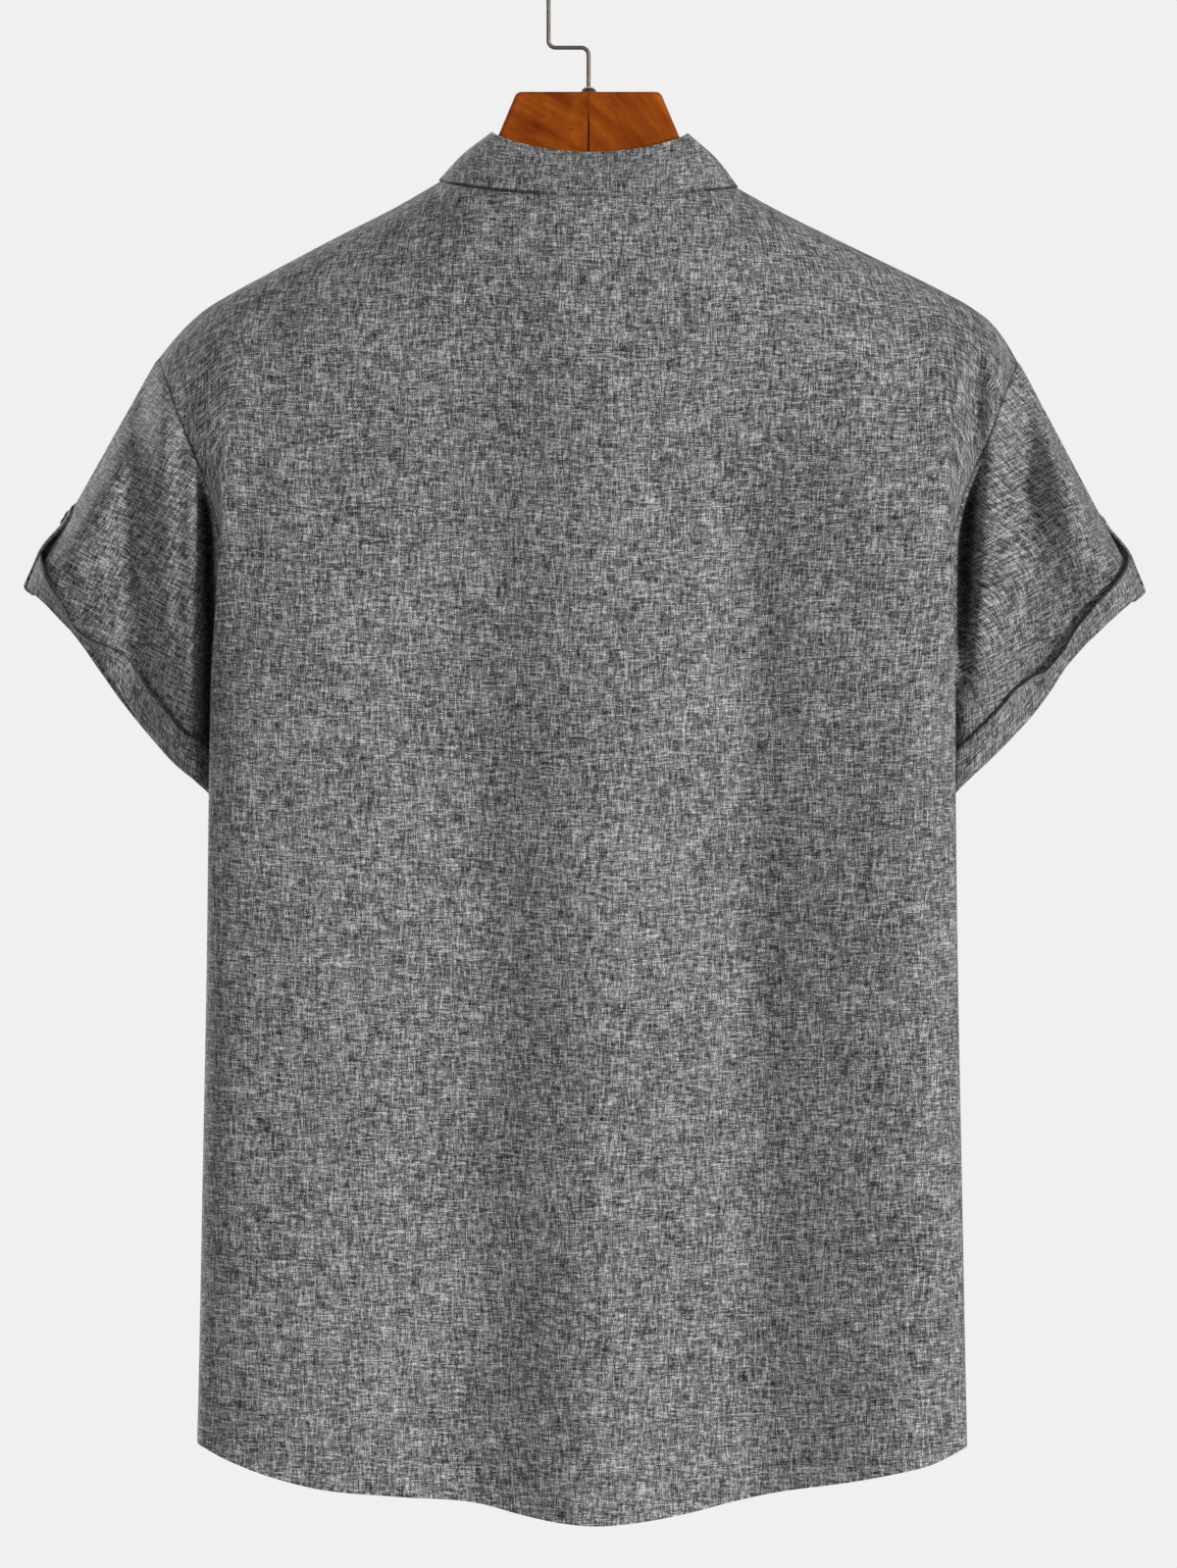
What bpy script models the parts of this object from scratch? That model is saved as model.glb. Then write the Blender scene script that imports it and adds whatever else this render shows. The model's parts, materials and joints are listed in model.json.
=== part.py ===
"""Short-sleeved shirt with a mandarin collar, hanging on a wooden hanger.

Units are metres, +Z is up and the wearer faces -Y, so the wearer's left is +X.
The origin is the underside of the hook's crown, where a rail carries it.
Every cloth piece is a wall of even thickness. Its outer side is a grid of points worked out from
the tables below, and sewn edges share their normals, so neighbours meet square, SEAM_GAP apart.
"""
import math

import bpy
import bmesh
import numpy as np
from mathutils import Matrix, Vector

# ---- cloth -------------------------------------------------------------------------------------
CLOTH = 0.0012            # wall of a single layer
BAND = 0.0020             # wall of the turned-up cuffs, which are doubled
SEAM_GAP = 0.0003         # between sewn pieces, and under what lies on a panel
ARMHOLE_EASE = 0.0003     # the sleeve's edge is drawn back a little more, under the arm it folds
LEAN = 0.0035             # the hem hangs this far to the wearer's left of the hook
LEAN_TOP = -0.190
LEAN_FOOT = -0.480
ROLL = 0.004              # rise of the left shoulder for each metre to the left

# ---- body --------------------------------------------------------------------------------------
UNDERARM = -0.408         # height of the armhole's lowest point
RIDGE_Y = 0.045           # how far behind the side seam the body is widest
CORNER_POWER = 2.7        # roundness of the section's corners
NECK_SHARE = 0.34         # part of a half row, from the middle, that ends at the neck point
EDGE_START = 0.70         # part of a half row where the pull of the armhole begins
CORNER_FADE = 0.09        # how widely the neck point's corner fades out below, in half rows

SECTIONS = (              # body sections below the armhole
    # height, ridge_x, seam_x, back_y, front_y
    (-0.875, 0.2138, 0.2100, 0.0820, -0.0810),
    (-0.788, 0.2118, 0.2080, 0.0830, -0.0820),
    (-0.680, 0.2097, 0.2060, 0.0840, -0.0830),
    (-0.571, 0.2076, 0.2035, 0.0850, -0.0840),
    (-0.462, 0.2062, 0.2000, 0.0858, -0.0848),
    (-0.408, 0.2056, 0.1965, 0.0860, -0.0850),
)
ARMHOLE = (               # from the underarm to the shoulder tip
    # share, back_x, front_x, back_y, front_y, height
    (0.00, 0.1965, 0.1965, 0.0000, 0.0000, -0.4080),
    (0.15, 0.1965, 0.1965, 0.0280, -0.0280, -0.3850),
    (0.30, 0.1995, 0.1995, 0.0450, -0.0450, -0.3580),
    (0.50, 0.2045, 0.2000, 0.0510, -0.0540, -0.3180),
    (0.65, 0.2135, 0.2075, 0.0470, -0.0520, -0.2900),
    (0.78, 0.2235, 0.2180, 0.0390, -0.0440, -0.2660),
    (0.88, 0.2305, 0.2270, 0.0280, -0.0320, -0.2480),
    (0.95, 0.2350, 0.2340, 0.0155, -0.0180, -0.2360),
    (1.00, 0.2387, 0.2387, 0.0000, 0.0000, -0.2270),
)
SHOULDER = (              # from the neck point to the shoulder tip
    # reach, height on the left, height on the right
    (0.0820, -0.1278, -0.1306),
    (0.1050, -0.1412, -0.1432),
    (0.1380, -0.1582, -0.1594),
    (0.1750, -0.1779, -0.1771),
    (0.2000, -0.1916, -0.1895),
    (0.2140, -0.2003, -0.1975),
    (0.2280, -0.2138, -0.2098),
    (0.2387, -0.2270, -0.2270),
)
BACK_HEM = (              # left to right, from the wearer's left
    # reach, height
    (0.2135, -0.8266),
    (0.2000, -0.8337),
    (0.1850, -0.8399),
    (0.1500, -0.8500),
    (0.1014, -0.8550),
    (0.0560, -0.8588),
    (0.0330, -0.8648),
    (0.0110, -0.8690),
    (-0.0060, -0.8703),
    (-0.0310, -0.8685),
    (-0.0550, -0.8643),
    (-0.0860, -0.8566),
    (-0.1025, -0.8529),
    (-0.1500, -0.8455),
    (-0.1740, -0.8409),
    (-0.1930, -0.8363),
    (-0.2135, -0.8266),
)
FRONT_HEM = (
    # reach, height
    (0.2135, -0.8266),
    (0.2000, -0.8334),
    (0.1850, -0.8392),
    (0.1400, -0.8498),
    (0.0900, -0.8546),
    (0.0400, -0.8600),
    (0.0000, -0.8612),
    (-0.0400, -0.8592),
    (-0.0900, -0.8538),
    (-0.1400, -0.8450),
    (-0.1850, -0.8370),
    (-0.2000, -0.8330),
    (-0.2135, -0.8266),
)
BACK_FOLDS = (            # a ridge stands out, a trough is negative
    # reach, half_width, relief at the hem
    (0.163, 0.042, 0.0065),
    (0.064, 0.034, -0.0125),
    (-0.006, 0.034, 0.0120),
    (-0.098, 0.040, -0.0150),
    (-0.172, 0.030, 0.0095),
)
FRONT_FOLDS = (
    # reach, half_width, relief at the hem
    (0.158, 0.036, 0.0070),
    (0.092, 0.036, -0.0095),
    (-0.084, 0.034, -0.0080),
    (-0.150, 0.038, 0.0075),
)
FOLD_GROWTH = (
    # row, share of the relief at the hem
    (0.00, 1.00),
    (0.50, 0.76),
    (1.00, 0.58),
    (1.50, 0.40),
    (1.80, 0.12),
    (2.00, 0.00),
)

# ---- neck and collar ---------------------------------------------------------------------------
NECK_BACK = (0.050, -0.1362)      # depth and height of the neckline in the middle of the back
NECK_FRONT = (-0.052, -0.1900)
COLLAR_SIDE = (0.0543, -0.1020)   # reach and height of the collar's top edge over the shoulder
COLLAR_LEAN = -0.0008             # the top edge leans to the right
COLLAR_BACK = (0.0250, -0.1130)   # depth and height of the top edge, middle back
COLLAR_FRONT = (-0.0290, -0.1590)
COLLAR_SWELL = 0.0018
COLLAR_POWER = 3.0                # squareness of the top ring, which lies on the hanger's neck
LAP = 0.0150                      # each front passes the middle by this much
LAP_DEPTH = 0.0022                # the right front lies this far behind the left

# ---- sleeves -----------------------------------------------------------------------------------
SLEEVE_OUTER = (0.3085, -0.012, -0.3545)   # the hem ring's outer end, under the tab
SLEEVE_INNER = (0.2050, -0.008, -0.4755)   # its inner end, below the underarm
SLEEVE_HALF_DEPTH = 0.031
SLEEVE_ROUNDNESS = 0.62           # of the hem ring: 1 is an ellipse, less is flatter with blunt ends
SLEEVE_PUSH = 0.040               # how strongly the sleeve leaves the body at the underarm
SLEEVE_FOLDS = (
    # turn at the armhole, turn at the hem, half_width in turns, relief
    (0.345, 0.330, 0.045, -0.0070),
    (0.235, 0.230, 0.060, 0.0060),
    (0.640, 0.640, 0.060, -0.0060),
)
CUFF_HEIGHT = 0.0215
CUFF_FLARE = (            # how far the free edge stands off, round the hem ring
    # turn, stand-off
    (0.00, 0.0005),
    (0.18, 0.0008),
    (0.33, 0.0062),
    (0.46, 0.0010),
    (0.62, 0.0012),
    (0.80, 0.0030),
    (1.00, 0.0005),
)
TAB_WIDTH = 0.022
TAB_LENGTH = 0.056
TAB_TURN = 0.515          # the tab's middle, just before the sleeve's top line

# ---- buttons -----------------------------------------------------------------------------------
BUTTON_RADIUS = 0.0054
BUTTON_THICK = 0.0024
TAB_BUTTON_RADIUS = 0.0050
PLACKET_WIDTH = 0.030
PLACKET_BUTTONS = 6
FIRST_BUTTON = 0.060      # below the front neckline
BUTTON_SPACING = 0.088

# ---- hanger ------------------------------------------------------------------------------------
HANGER_THICK = 0.018
HANGER_EDGE = 0.0042
HANGER_JOINT = 0.0003     # glue line between the halves
HANGER_OUTLINE = (        # one half, from the top of the glue line round to its foot
    # reach, height
    (0.0000, -0.0786),
    (0.0398, -0.0786),
    (0.0490, -0.1005),
    (0.0540, -0.1120),
    (0.0630, -0.1215),
    (0.0820, -0.1368),
    (0.1050, -0.1492),
    (0.1380, -0.1642),
    (0.1750, -0.1828),
    (0.1950, -0.1932),
    (0.2005, -0.2015),
    (0.1970, -0.2095),
    (0.1820, -0.2100),
    (0.1400, -0.1940),
    (0.0900, -0.1720),
    (0.0450, -0.1540),
    (0.0000, -0.1480),
)
WASHER_RADIUS = 0.0042
WASHER_HEIGHT = 0.0022
WIRE_RADIUS = 0.00115
HOOK_RADIUS = 0.0222      # of the crown's centre line
HOOK_STEP = -0.0540       # height of the wire's sideways run
HOOK_BEND = 0.0040
HOOK_TAIL = 0.22          # radians past the half turn

# ---- resolution --------------------------------------------------------------------------------
NECK_COLUMNS = 6
SHOULDER_COLUMNS = 10
LOWER_ROWS = 12
UPPER_ROWS = 12
SLEEVE_ROWS = 8
SECTION_STEPS = 40

LEFT, RIGHT = 1, -1
BACK, FRONT = 1, -1


# ---- reading tables ----------------------------------------------------------------------------
def read(table, at):
    """The columns after the first, on a smooth curve through the table's rows."""
    rows = np.array(table if table[0][0] < table[-1][0] else table[::-1])
    keys, values = rows[:, 0], rows[:, 1:]
    at = min(max(at, keys[0]), keys[-1])
    slopes = np.gradient(values, keys, axis=0)
    i = min(int(np.searchsorted(keys, at, side="right")) - 1, len(keys) - 2)
    span = keys[i + 1] - keys[i]
    t = (at - keys[i]) / span
    return ((2 * t**3 - 3 * t**2 + 1) * values[i] + (t**3 - 2 * t**2 + t) * span * slopes[i]
            + (3 * t**2 - 2 * t**3) * values[i + 1] + (t**3 - t**2) * span * slopes[i + 1])


def smooth_step(low, high, at):
    t = min(max((at - low) / (high - low), 0.0), 1.0)
    return t * t * (3 - 2 * t)


def along(points, share):
    """The point at a share of a polyline's own length."""
    lengths = np.concatenate(([0], np.cumsum(np.linalg.norm(np.diff(points, axis=0), axis=1))))
    return np.array([np.interp(share * lengths[-1], lengths, points[:, k]) for k in range(3)])


# ---- body --------------------------------------------------------------------------------------
def half_section(face, height):
    """Half of a body section, from the middle of the back or front to the left side seam."""
    ridge_x, seam_x, back_y, front_y = read(SECTIONS, height)
    depth = back_y if face == BACK else front_y
    ridge_y = RIDGE_Y * face
    quarter = np.linspace(math.pi / 2, 0, SECTION_STEPS)
    power = 2 / CORNER_POWER
    rounded = [(ridge_x * math.cos(a)**power if a < math.pi / 2 else 0.0,
                ridge_y + (depth - ridge_y) * math.sin(a)**power, height) for a in quarter]
    side = [(seam_x + (ridge_x - seam_x) * smooth_step(0, 1, t), ridge_y * t, height)
            for t in np.linspace(0.95, 0, SECTION_STEPS // 4)]
    return np.array(rounded + side)


def body_section_point(face, u, height):
    point = along(half_section(face, height), abs(u))
    point[0] *= 1 if u >= 0 else -1
    return point


def shoulder_height(side, reach):
    return read(SHOULDER, reach)[0 if side == LEFT else 1]


def neckline(face, side, share):
    """From the middle (0) to the neck point (1); the reach is given without its side."""
    depth, height = NECK_BACK if face == BACK else NECK_FRONT
    reach = SHOULDER[0][0]
    side_height = shoulder_height(side, reach)
    turn = share * math.pi / 2
    return np.array([reach * math.sin(turn), depth * math.cos(turn),
                     side_height + (height - side_height) * math.cos(turn)**1.6])


def top_line(face, u):
    """The neckline and then the shoulder seam."""
    share = abs(u)
    side = LEFT if u >= 0 else RIGHT
    if share <= NECK_SHARE:
        point = neckline(face, side, share / NECK_SHARE)
    else:
        reach = SHOULDER[0][0] + (SHOULDER[-1][0] - SHOULDER[0][0]) \
            * (share - NECK_SHARE) / (1 - NECK_SHARE)
        point = np.array([reach, 0.0, shoulder_height(side, reach)])
    point[0] *= side
    return point


def soft_top(face, u, share):
    """The top line as it shapes the cloth below, where its corner at the neck point fades out."""
    spread = CORNER_FADE * smooth_step(0, 0.25, 1 - share)
    return sum(top_line(face, u + spread * k) for k in np.linspace(-1, 1, 9)) / 9


def armhole_point(side, face, share):
    back_x, front_x, back_y, front_y, height = read(ARMHOLE, share)
    if face == BACK:
        return np.array([side * back_x, back_y, height])
    return np.array([side * front_x, front_y, height])


def upper_point(face, u, share):
    """A body point between the underarm and the top line, before the armhole pulls on it."""
    low = body_section_point(face, u, UNDERARM)
    top = soft_top(face, u, share)
    drop_power = 0.85 - 0.35 * smooth_step(0.05, 0.36, abs(u))
    rounding = (1 - share**2.2)**drop_power
    return np.array([low[0] + (top[0] - low[0]) * share**1.5,
                     top[1] + (low[1] - top[1]) * rounding,
                     low[2] + (top[2] - low[2]) * share])


def fold_relief(face, x, row):
    folds = BACK_FOLDS if face == BACK else FRONT_FOLDS
    waves = sum(relief * math.exp(-((x - reach) / half_width)**2)
                for reach, half_width, relief in folds)
    return face * waves * read(FOLD_GROWTH, row)[0]


def hang(point):
    """The shirt leans and rolls a little on its hanger."""
    x, y, z = point
    lean = LEAN * smooth_step(-LEAN_TOP, -LEAN_FOOT, -z)
    return np.array([x + lean, y, z + ROLL * x])


def body_point(face, u, row):
    """row runs from 0 at the hem over 1 at the underarm to 2 at the shoulder seam."""
    side = LEFT if u >= 0 else RIGHT
    if row <= 1:
        hem = BACK_HEM if face == BACK else FRONT_HEM
        hem_x = body_section_point(face, u, -0.85)[0]
        hem_height = read(hem, hem_x)[0]
        height = hem_height + (UNDERARM - hem_height) * row
        point = body_section_point(face, u, height)
    else:
        share = row - 1
        point = upper_point(face, u, share)
        pull = smooth_step(EDGE_START, 1.0, abs(u))
        point = point + pull * (armhole_point(side, face, share) - upper_point(face, side, share))
    point[1] += fold_relief(face, point[0], row) * (1 - smooth_step(0.78, 0.97, abs(u)))
    return hang(point)


def half_columns():
    neck = np.linspace(0, NECK_SHARE, NECK_COLUMNS + 1)
    shoulder = np.linspace(NECK_SHARE, 1, SHOULDER_COLUMNS + 1)
    return list(neck) + list(shoulder[1:])


def upper_shares():
    """From the underarm to the shoulder seam, closer together near the seam."""
    return 1 - (1 - np.linspace(0, 1, UPPER_ROWS + 1))**1.25


def row_values():
    lower = np.linspace(0, 1, LOWER_ROWS + 1)
    return list(lower) + list(1 + upper_shares()[1:])


def ring_turns():
    """Round the armhole, at the ends of the body's rows."""
    up = upper_shares() / 2
    return np.concatenate((up, 1 - up[-2:0:-1]))


def back_grid():
    half = half_columns()
    columns = [-u for u in half[:0:-1]] + half
    return np.array([[body_point(BACK, u, row) for u in columns] for row in row_values()])


def front_point(side, u, row):
    """The right front sinks behind the left one near the middle."""
    point = body_point(FRONT, u, row)
    if side == RIGHT:
        point[1] += LAP_DEPTH * smooth_step(-0.050, -0.018, point[0])
    return point


def lap_share(row):
    """The share of a half row that measures LAP, at a row."""
    reach = abs(front_point(LEFT, 0.1, row)[0] - front_point(LEFT, 0, row)[0])
    return 0.1 * LAP / reach


def front_grid(side):
    """From the lapped edge to the side seam."""
    columns = half_columns()
    rows = []
    for row in row_values():
        lap = lap_share(row)
        us = [-lap, *columns]
        rows.append([front_point(side, side * u, row) for u in us])
    return np.array(rows)


# ---- sleeves -----------------------------------------------------------------------------------
def armhole_ring(side, turn):
    """turn 0 is the underarm, 0.5 the shoulder tip; the back comes first."""
    if turn <= 0.5:
        return hang(armhole_point(side, BACK, turn * 2))
    return hang(armhole_point(side, FRONT, (1 - turn) * 2))


def hem_ring(side, turn):
    outer, inner = np.array(SLEEVE_OUTER), np.array(SLEEVE_INNER)
    angle = turn * 2 * math.pi
    point = (outer + inner) / 2 - (outer - inner) / 2 * math.cos(angle)
    depth = math.sin(angle)
    point[1] += SLEEVE_HALF_DEPTH * math.copysign(abs(depth)**SLEEVE_ROUNDNESS, depth)
    point[0] *= side
    return hang(point)


def sleeve_point(side, turn, share):
    """share runs from 0 at the armhole to 1 at the hem, on a bowed line."""
    turn = turn % 1.0
    start, end = armhole_ring(side, turn), hem_ring(side, turn)
    run = end - start
    under = math.cos(turn * math.pi)**4
    leave = run + under * SLEEVE_PUSH * np.array([side, 0, 0.3])
    t = share
    point = start + (t**3 - 2 * t**2 + t) * leave + (3 * t**2 - 2 * t**3) * run + (t**3 - t**2) * run
    for at_armhole, at_hem, half_width, relief in SLEEVE_FOLDS:
        centre = at_armhole + (at_hem - at_armhole) * t
        face = BACK if centre < 0.5 else FRONT
        strength = smooth_step(0.02, 0.35, t)
        point[1] += face * relief * strength * math.exp(-((turn - centre) / half_width)**2)
    return point


def sleeve_length(side, turn):
    points = [sleeve_point(side, turn, t) for t in np.linspace(0, 1, 9)]
    return sum(np.linalg.norm(b - a) for a, b in zip(points, points[1:]))


def sleeve_normal(side, turn, share):
    step = 0.01
    across = sleeve_point(side, turn + step, share) - sleeve_point(side, turn - step, share)
    down = sleeve_point(side, turn, share + step) - sleeve_point(side, turn, share - step)
    normal = np.cross(across, down) * side
    return normal / np.linalg.norm(normal)


def over_sleeve(side, turn, up, out):
    """A point out from the sleeve's outer side, so far up from its hem."""
    share = 1 - up / sleeve_length(side, turn)
    return sleeve_point(side, turn, share) + out * sleeve_normal(side, turn, share)


# ---- building walls ----------------------------------------------------------------------------
def grid_normals(grid, closed, flip):
    """Normals of a grid of points; a closed grid wraps round its columns."""
    down = np.gradient(grid, axis=0)
    if closed:
        across = (np.roll(grid, -1, axis=1) - np.roll(grid, 1, axis=1)) / 2
    else:
        across = np.gradient(grid, axis=1)
    normals = np.cross(across, down) * (-1 if flip else 1)
    return normals / np.linalg.norm(normals, axis=2, keepdims=True)


def seam_key(point):
    return tuple(int(round(c * 1e5)) for c in point)


def share_normals(pieces):
    """Points that two pieces share get the mean of the pieces' normals."""
    totals = {}
    for grid, normals in pieces:
        for point, normal in zip(grid.reshape(-1, 3), normals.reshape(-1, 3)):
            key = seam_key(point)
            totals[key] = totals.get(key, 0) + normal
    for grid, normals in pieces:
        for i in range(grid.shape[0]):
            for j in range(grid.shape[1]):
                total = totals[seam_key(grid[i, j])]
                normals[i, j] = total / np.linalg.norm(total)


def part_seams(grid, edges, draw=SEAM_GAP / 2):
    """Draws each named edge back into its piece, by half the seam gap unless told more."""
    moved = grid.copy()
    inward = {"foot": (0, 1), "head": (-1, -2)}
    for edge in edges:
        if edge in inward:
            end, within = inward[edge]
            way = grid[within] - grid[end]
            moved[end] += draw * way / np.linalg.norm(way, axis=1, keepdims=True)
        else:
            end, within = (0, 1) if edge == "start" else (-1, -2)
            way = grid[:, within] - grid[:, end]
            moved[:, end] += draw * way / np.linalg.norm(way, axis=1, keepdims=True)
    return moved


def wall(name, grid, normals, thickness, material, closed=False, edges=(), draw=SEAM_GAP / 2):
    """A closed solid between a grid of points and the same grid moved in."""
    outer = part_seams(grid, edges, draw)
    inner = outer - normals * thickness
    rows, columns = grid.shape[:2]
    mesh = bmesh.new()
    layers = [[[mesh.verts.new(p) for p in row] for row in layer] for layer in (outer, inner)]
    spans = columns if closed else columns - 1
    for layer in layers:
        for i in range(rows - 1):
            for j in range(spans):
                k = (j + 1) % columns
                mesh.faces.new((layer[i][j], layer[i][k], layer[i + 1][k], layer[i + 1][j]))
    for i in (0, rows - 1):
        for j in range(spans):
            k = (j + 1) % columns
            mesh.faces.new((layers[0][i][j], layers[0][i][k], layers[1][i][k], layers[1][i][j]))
    if not closed:
        for j in (0, columns - 1):
            for i in range(rows - 1):
                mesh.faces.new((layers[0][i][j], layers[0][i + 1][j],
                                layers[1][i + 1][j], layers[1][i][j]))
    bmesh.ops.recalc_face_normals(mesh, faces=mesh.faces)
    bmesh.ops.triangulate(mesh, faces=mesh.faces, quad_method="SHORT_EDGE")
    return mesh_object(name, mesh, material)


def mesh_object(name, mesh, material, smooth_angle=40):
    data = bpy.data.meshes.new(name)
    mesh.to_mesh(data)
    mesh.free()
    data.shade_smooth()
    data.set_sharp_from_angle(angle=math.radians(smooth_angle))
    data.materials.append(material)
    thing = bpy.data.objects.new(name, data)
    shirt_collection().objects.link(thing)
    return thing


def shirt_collection():
    name = "mandarin_collar_shirt"
    collection = bpy.data.collections.get(name)
    if collection is None:
        collection = bpy.data.collections.new(name)
        bpy.context.scene.collection.children.link(collection)
    return collection


def material(name, colour, roughness, metallic=0.0):
    made = bpy.data.materials.new(name)
    made.use_nodes = True
    shader = made.node_tree.nodes["Principled BSDF"]
    shader.inputs["Base Color"].default_value = (*colour, 1)
    shader.inputs["Roughness"].default_value = roughness
    shader.inputs["Metallic"].default_value = metallic
    made.diffuse_color = (*colour, 1)
    return made


# ---- the collar --------------------------------------------------------------------------------
def collar_base():
    """Round the neckline, from the under end on the right front to the over end on the left."""
    half = [u for u in half_columns() if u <= NECK_SHARE + 1e-9]
    lap = lap_share(2)
    under = [front_point(RIGHT, -u, 2) for u in [-lap, *half]]
    behind = [body_point(BACK, -u, 2) for u in half[-2::-1]] + [body_point(BACK, u, 2) for u in half[1:]]
    over = [front_point(LEFT, u, 2) for u in [*half[-2::-1], -lap]]
    return np.array(under + behind + over)


def collar_edge(base):
    """The collar's free edge: each base point drawn in to the smaller top ring."""
    reach, side_height = COLLAR_SIDE
    points = []
    for index, point in enumerate(base):
        x = point[0] / SHOULDER[0][0]
        x = min(max(x, -1.0), 1.0)
        is_back = point[1] > 0
        depth, height = COLLAR_BACK if is_back else COLLAR_FRONT
        round_fall = math.sqrt(1 - x * x)
        square_fall = (1 - abs(x)**COLLAR_POWER)**(1 / COLLAR_POWER)
        side_z = side_height + ROLL * point[0]
        lap = LAP_DEPTH * smooth_step(-0.050, -0.018, point[0]) if index < len(base) // 2 else 0
        points.append((x * reach + COLLAR_LEAN, depth * square_fall + (0 if is_back else lap),
                       side_z + (height - side_height) * round_fall**1.6))
    return np.array(points)


def collar_grid():
    base = collar_base()
    edge = collar_edge(base)
    middle = (base + edge) / 2
    swell = middle - middle.mean(axis=0)
    swell[:, 2] = 0.6 * np.linalg.norm(swell[:, :2], axis=1)
    middle = middle + COLLAR_SWELL * swell / np.linalg.norm(swell, axis=1, keepdims=True)
    return np.array([base, middle, edge])


# ---- pieces ------------------------------------------------------------------------------------
def build_body(cloth):
    back = back_grid()
    left, right = front_grid(LEFT), front_grid(RIGHT)
    collar = collar_grid()
    turns = ring_turns()
    shares = np.linspace(0, 1, SLEEVE_ROWS + 1)
    sleeves = {side: np.array([[sleeve_point(side, turn, t) for turn in turns] for t in shares])
               for side in (LEFT, RIGHT)}
    pieces = {
        "back": (back, grid_normals(back, False, True)),
        "front_left": (left, grid_normals(left, False, False)),
        "front_right": (right, grid_normals(right, False, True)),
        "collar": (collar, grid_normals(collar, False, True)),
        "sleeve_left": (sleeves[LEFT], grid_normals(sleeves[LEFT], True, False)),
        "sleeve_right": (sleeves[RIGHT], grid_normals(sleeves[RIGHT], True, True)),
    }
    share_normals(pieces.values())
    wall("back", *pieces["back"], CLOTH, cloth, edges=("head", "start", "end"))
    wall("front_left", *pieces["front_left"], CLOTH, cloth, edges=("head", "end"))
    wall("front_right", *pieces["front_right"], CLOTH, cloth, edges=("head", "end"))
    wall("collar", *pieces["collar"], CLOTH, cloth, edges=("foot",))
    for name in ("sleeve_left", "sleeve_right"):
        wall(name, *pieces[name], CLOTH, cloth, closed=True, edges=("foot",), draw=ARMHOLE_EASE)


def build_cuff(name, side, cloth):
    """The turned-up band: it lies on the sleeve and its free edge stands off a little."""
    turns = ring_turns()
    rows = []
    for up in np.linspace(-0.0008, CUFF_HEIGHT, 4):
        lift = max(up, 0) / CUFF_HEIGHT
        rows.append([over_sleeve(side, turn, up, SEAM_GAP + BAND + lift * read(CUFF_FLARE, turn)[0])
                     for turn in turns])
    grid = np.array(rows[::-1])
    wall(name, grid, grid_normals(grid, True, side == RIGHT), BAND, cloth, closed=True)


def tab_height(up):
    """How far the tab's outer side stands off the sleeve."""
    over_cuff = SEAM_GAP * 3 + BAND + read(CUFF_FLARE, TAB_TURN)[0] + CLOTH
    rest = SEAM_GAP * 4 + CLOTH
    return over_cuff + (rest - over_cuff) * smooth_step(CUFF_HEIGHT + 0.006, TAB_LENGTH - 0.012, up)


def tab_point(side, up, across):
    """across is metres from the tab's middle line, to the back."""
    ring = 0.40
    turn = TAB_TURN - across / ring
    return over_sleeve(side, turn, up, tab_height(up))


def build_tab(name, side, cloth):
    """A strap over the cuff, pointed at its buttoned end."""
    rows = []
    for up in np.linspace(-0.0012, TAB_LENGTH, 10):
        taper = 1 - 0.55 * smooth_step(TAB_LENGTH - 0.011, TAB_LENGTH, up)
        half = TAB_WIDTH / 2 * taper
        rows.append([tab_point(side, up, across) for across in np.linspace(half, -half, 5)])
    grid = np.array(rows[::-1])
    wall(name, grid, grid_normals(grid, False, side == RIGHT), CLOTH, cloth)


def build_placket(name, cloth):
    """A strip on the left front, from its lapped edge across the middle."""
    rows = []
    for row in row_values():
        lap = lap_share(row)
        width = lap * PLACKET_WIDTH / LAP
        rows.append([front_point(LEFT, u, row) for u in np.linspace(-lap, width - lap, 4)])
    grid = np.array(rows)
    normals = grid_normals(grid, False, False)
    grid = grid + (SEAM_GAP + CLOTH) * normals
    grid = part_seams(grid, ("head",))
    wall(name, grid, normals, CLOTH, cloth)


def build_button(name, place, normal, radius, colour, lift=SEAM_GAP):
    """A disc with a rounded rim, lifted a little off the cloth."""
    mesh = bmesh.new()
    bmesh.ops.create_cone(mesh, cap_ends=True, segments=20, radius1=radius, radius2=radius,
                          depth=BUTTON_THICK)
    turn = Vector(normal).to_track_quat("Z", "Y").to_matrix().to_4x4()
    centre = Vector(place) + Vector(normal) * (BUTTON_THICK / 2 + lift)
    bmesh.ops.transform(mesh, matrix=Matrix.Translation(centre) @ turn, verts=mesh.verts)
    button = mesh_object(name, mesh, colour, 50)
    rim = button.modifiers.new("rim", "BEVEL")
    rim.width = BUTTON_THICK * 0.3
    rim.segments = 2
    rim.limit_method = "ANGLE"
    return button


def build_collar_button(colour):
    """On the middle of the collar's over end, which laps the under end."""
    grid = collar_grid()
    base, middle, edge = grid[:, -2]
    across = grid[1, -1] - grid[1, -3]
    normal = np.cross(edge - base, across)
    normal /= np.linalg.norm(normal)
    build_button("button_collar", middle, normal, BUTTON_RADIUS, colour, 2 * SEAM_GAP)


def build_placket_buttons(colour):
    neck_height = front_point(LEFT, 0, 2)[2]
    for number in range(PLACKET_BUTTONS):
        height = neck_height - FIRST_BUTTON - number * BUTTON_SPACING
        row = row_at_height(height)
        place, normal = front_frame(row)
        build_button(f"button_{number + 1}", place + normal * (SEAM_GAP + CLOTH), normal,
                     BUTTON_RADIUS, colour)


def row_at_height(height):
    low, high = 0.0, 2.0
    for _ in range(30):
        middle = (low + high) / 2
        low, high = (middle, high) if front_point(LEFT, 0, middle)[2] < height else (low, middle)
    return low


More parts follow.
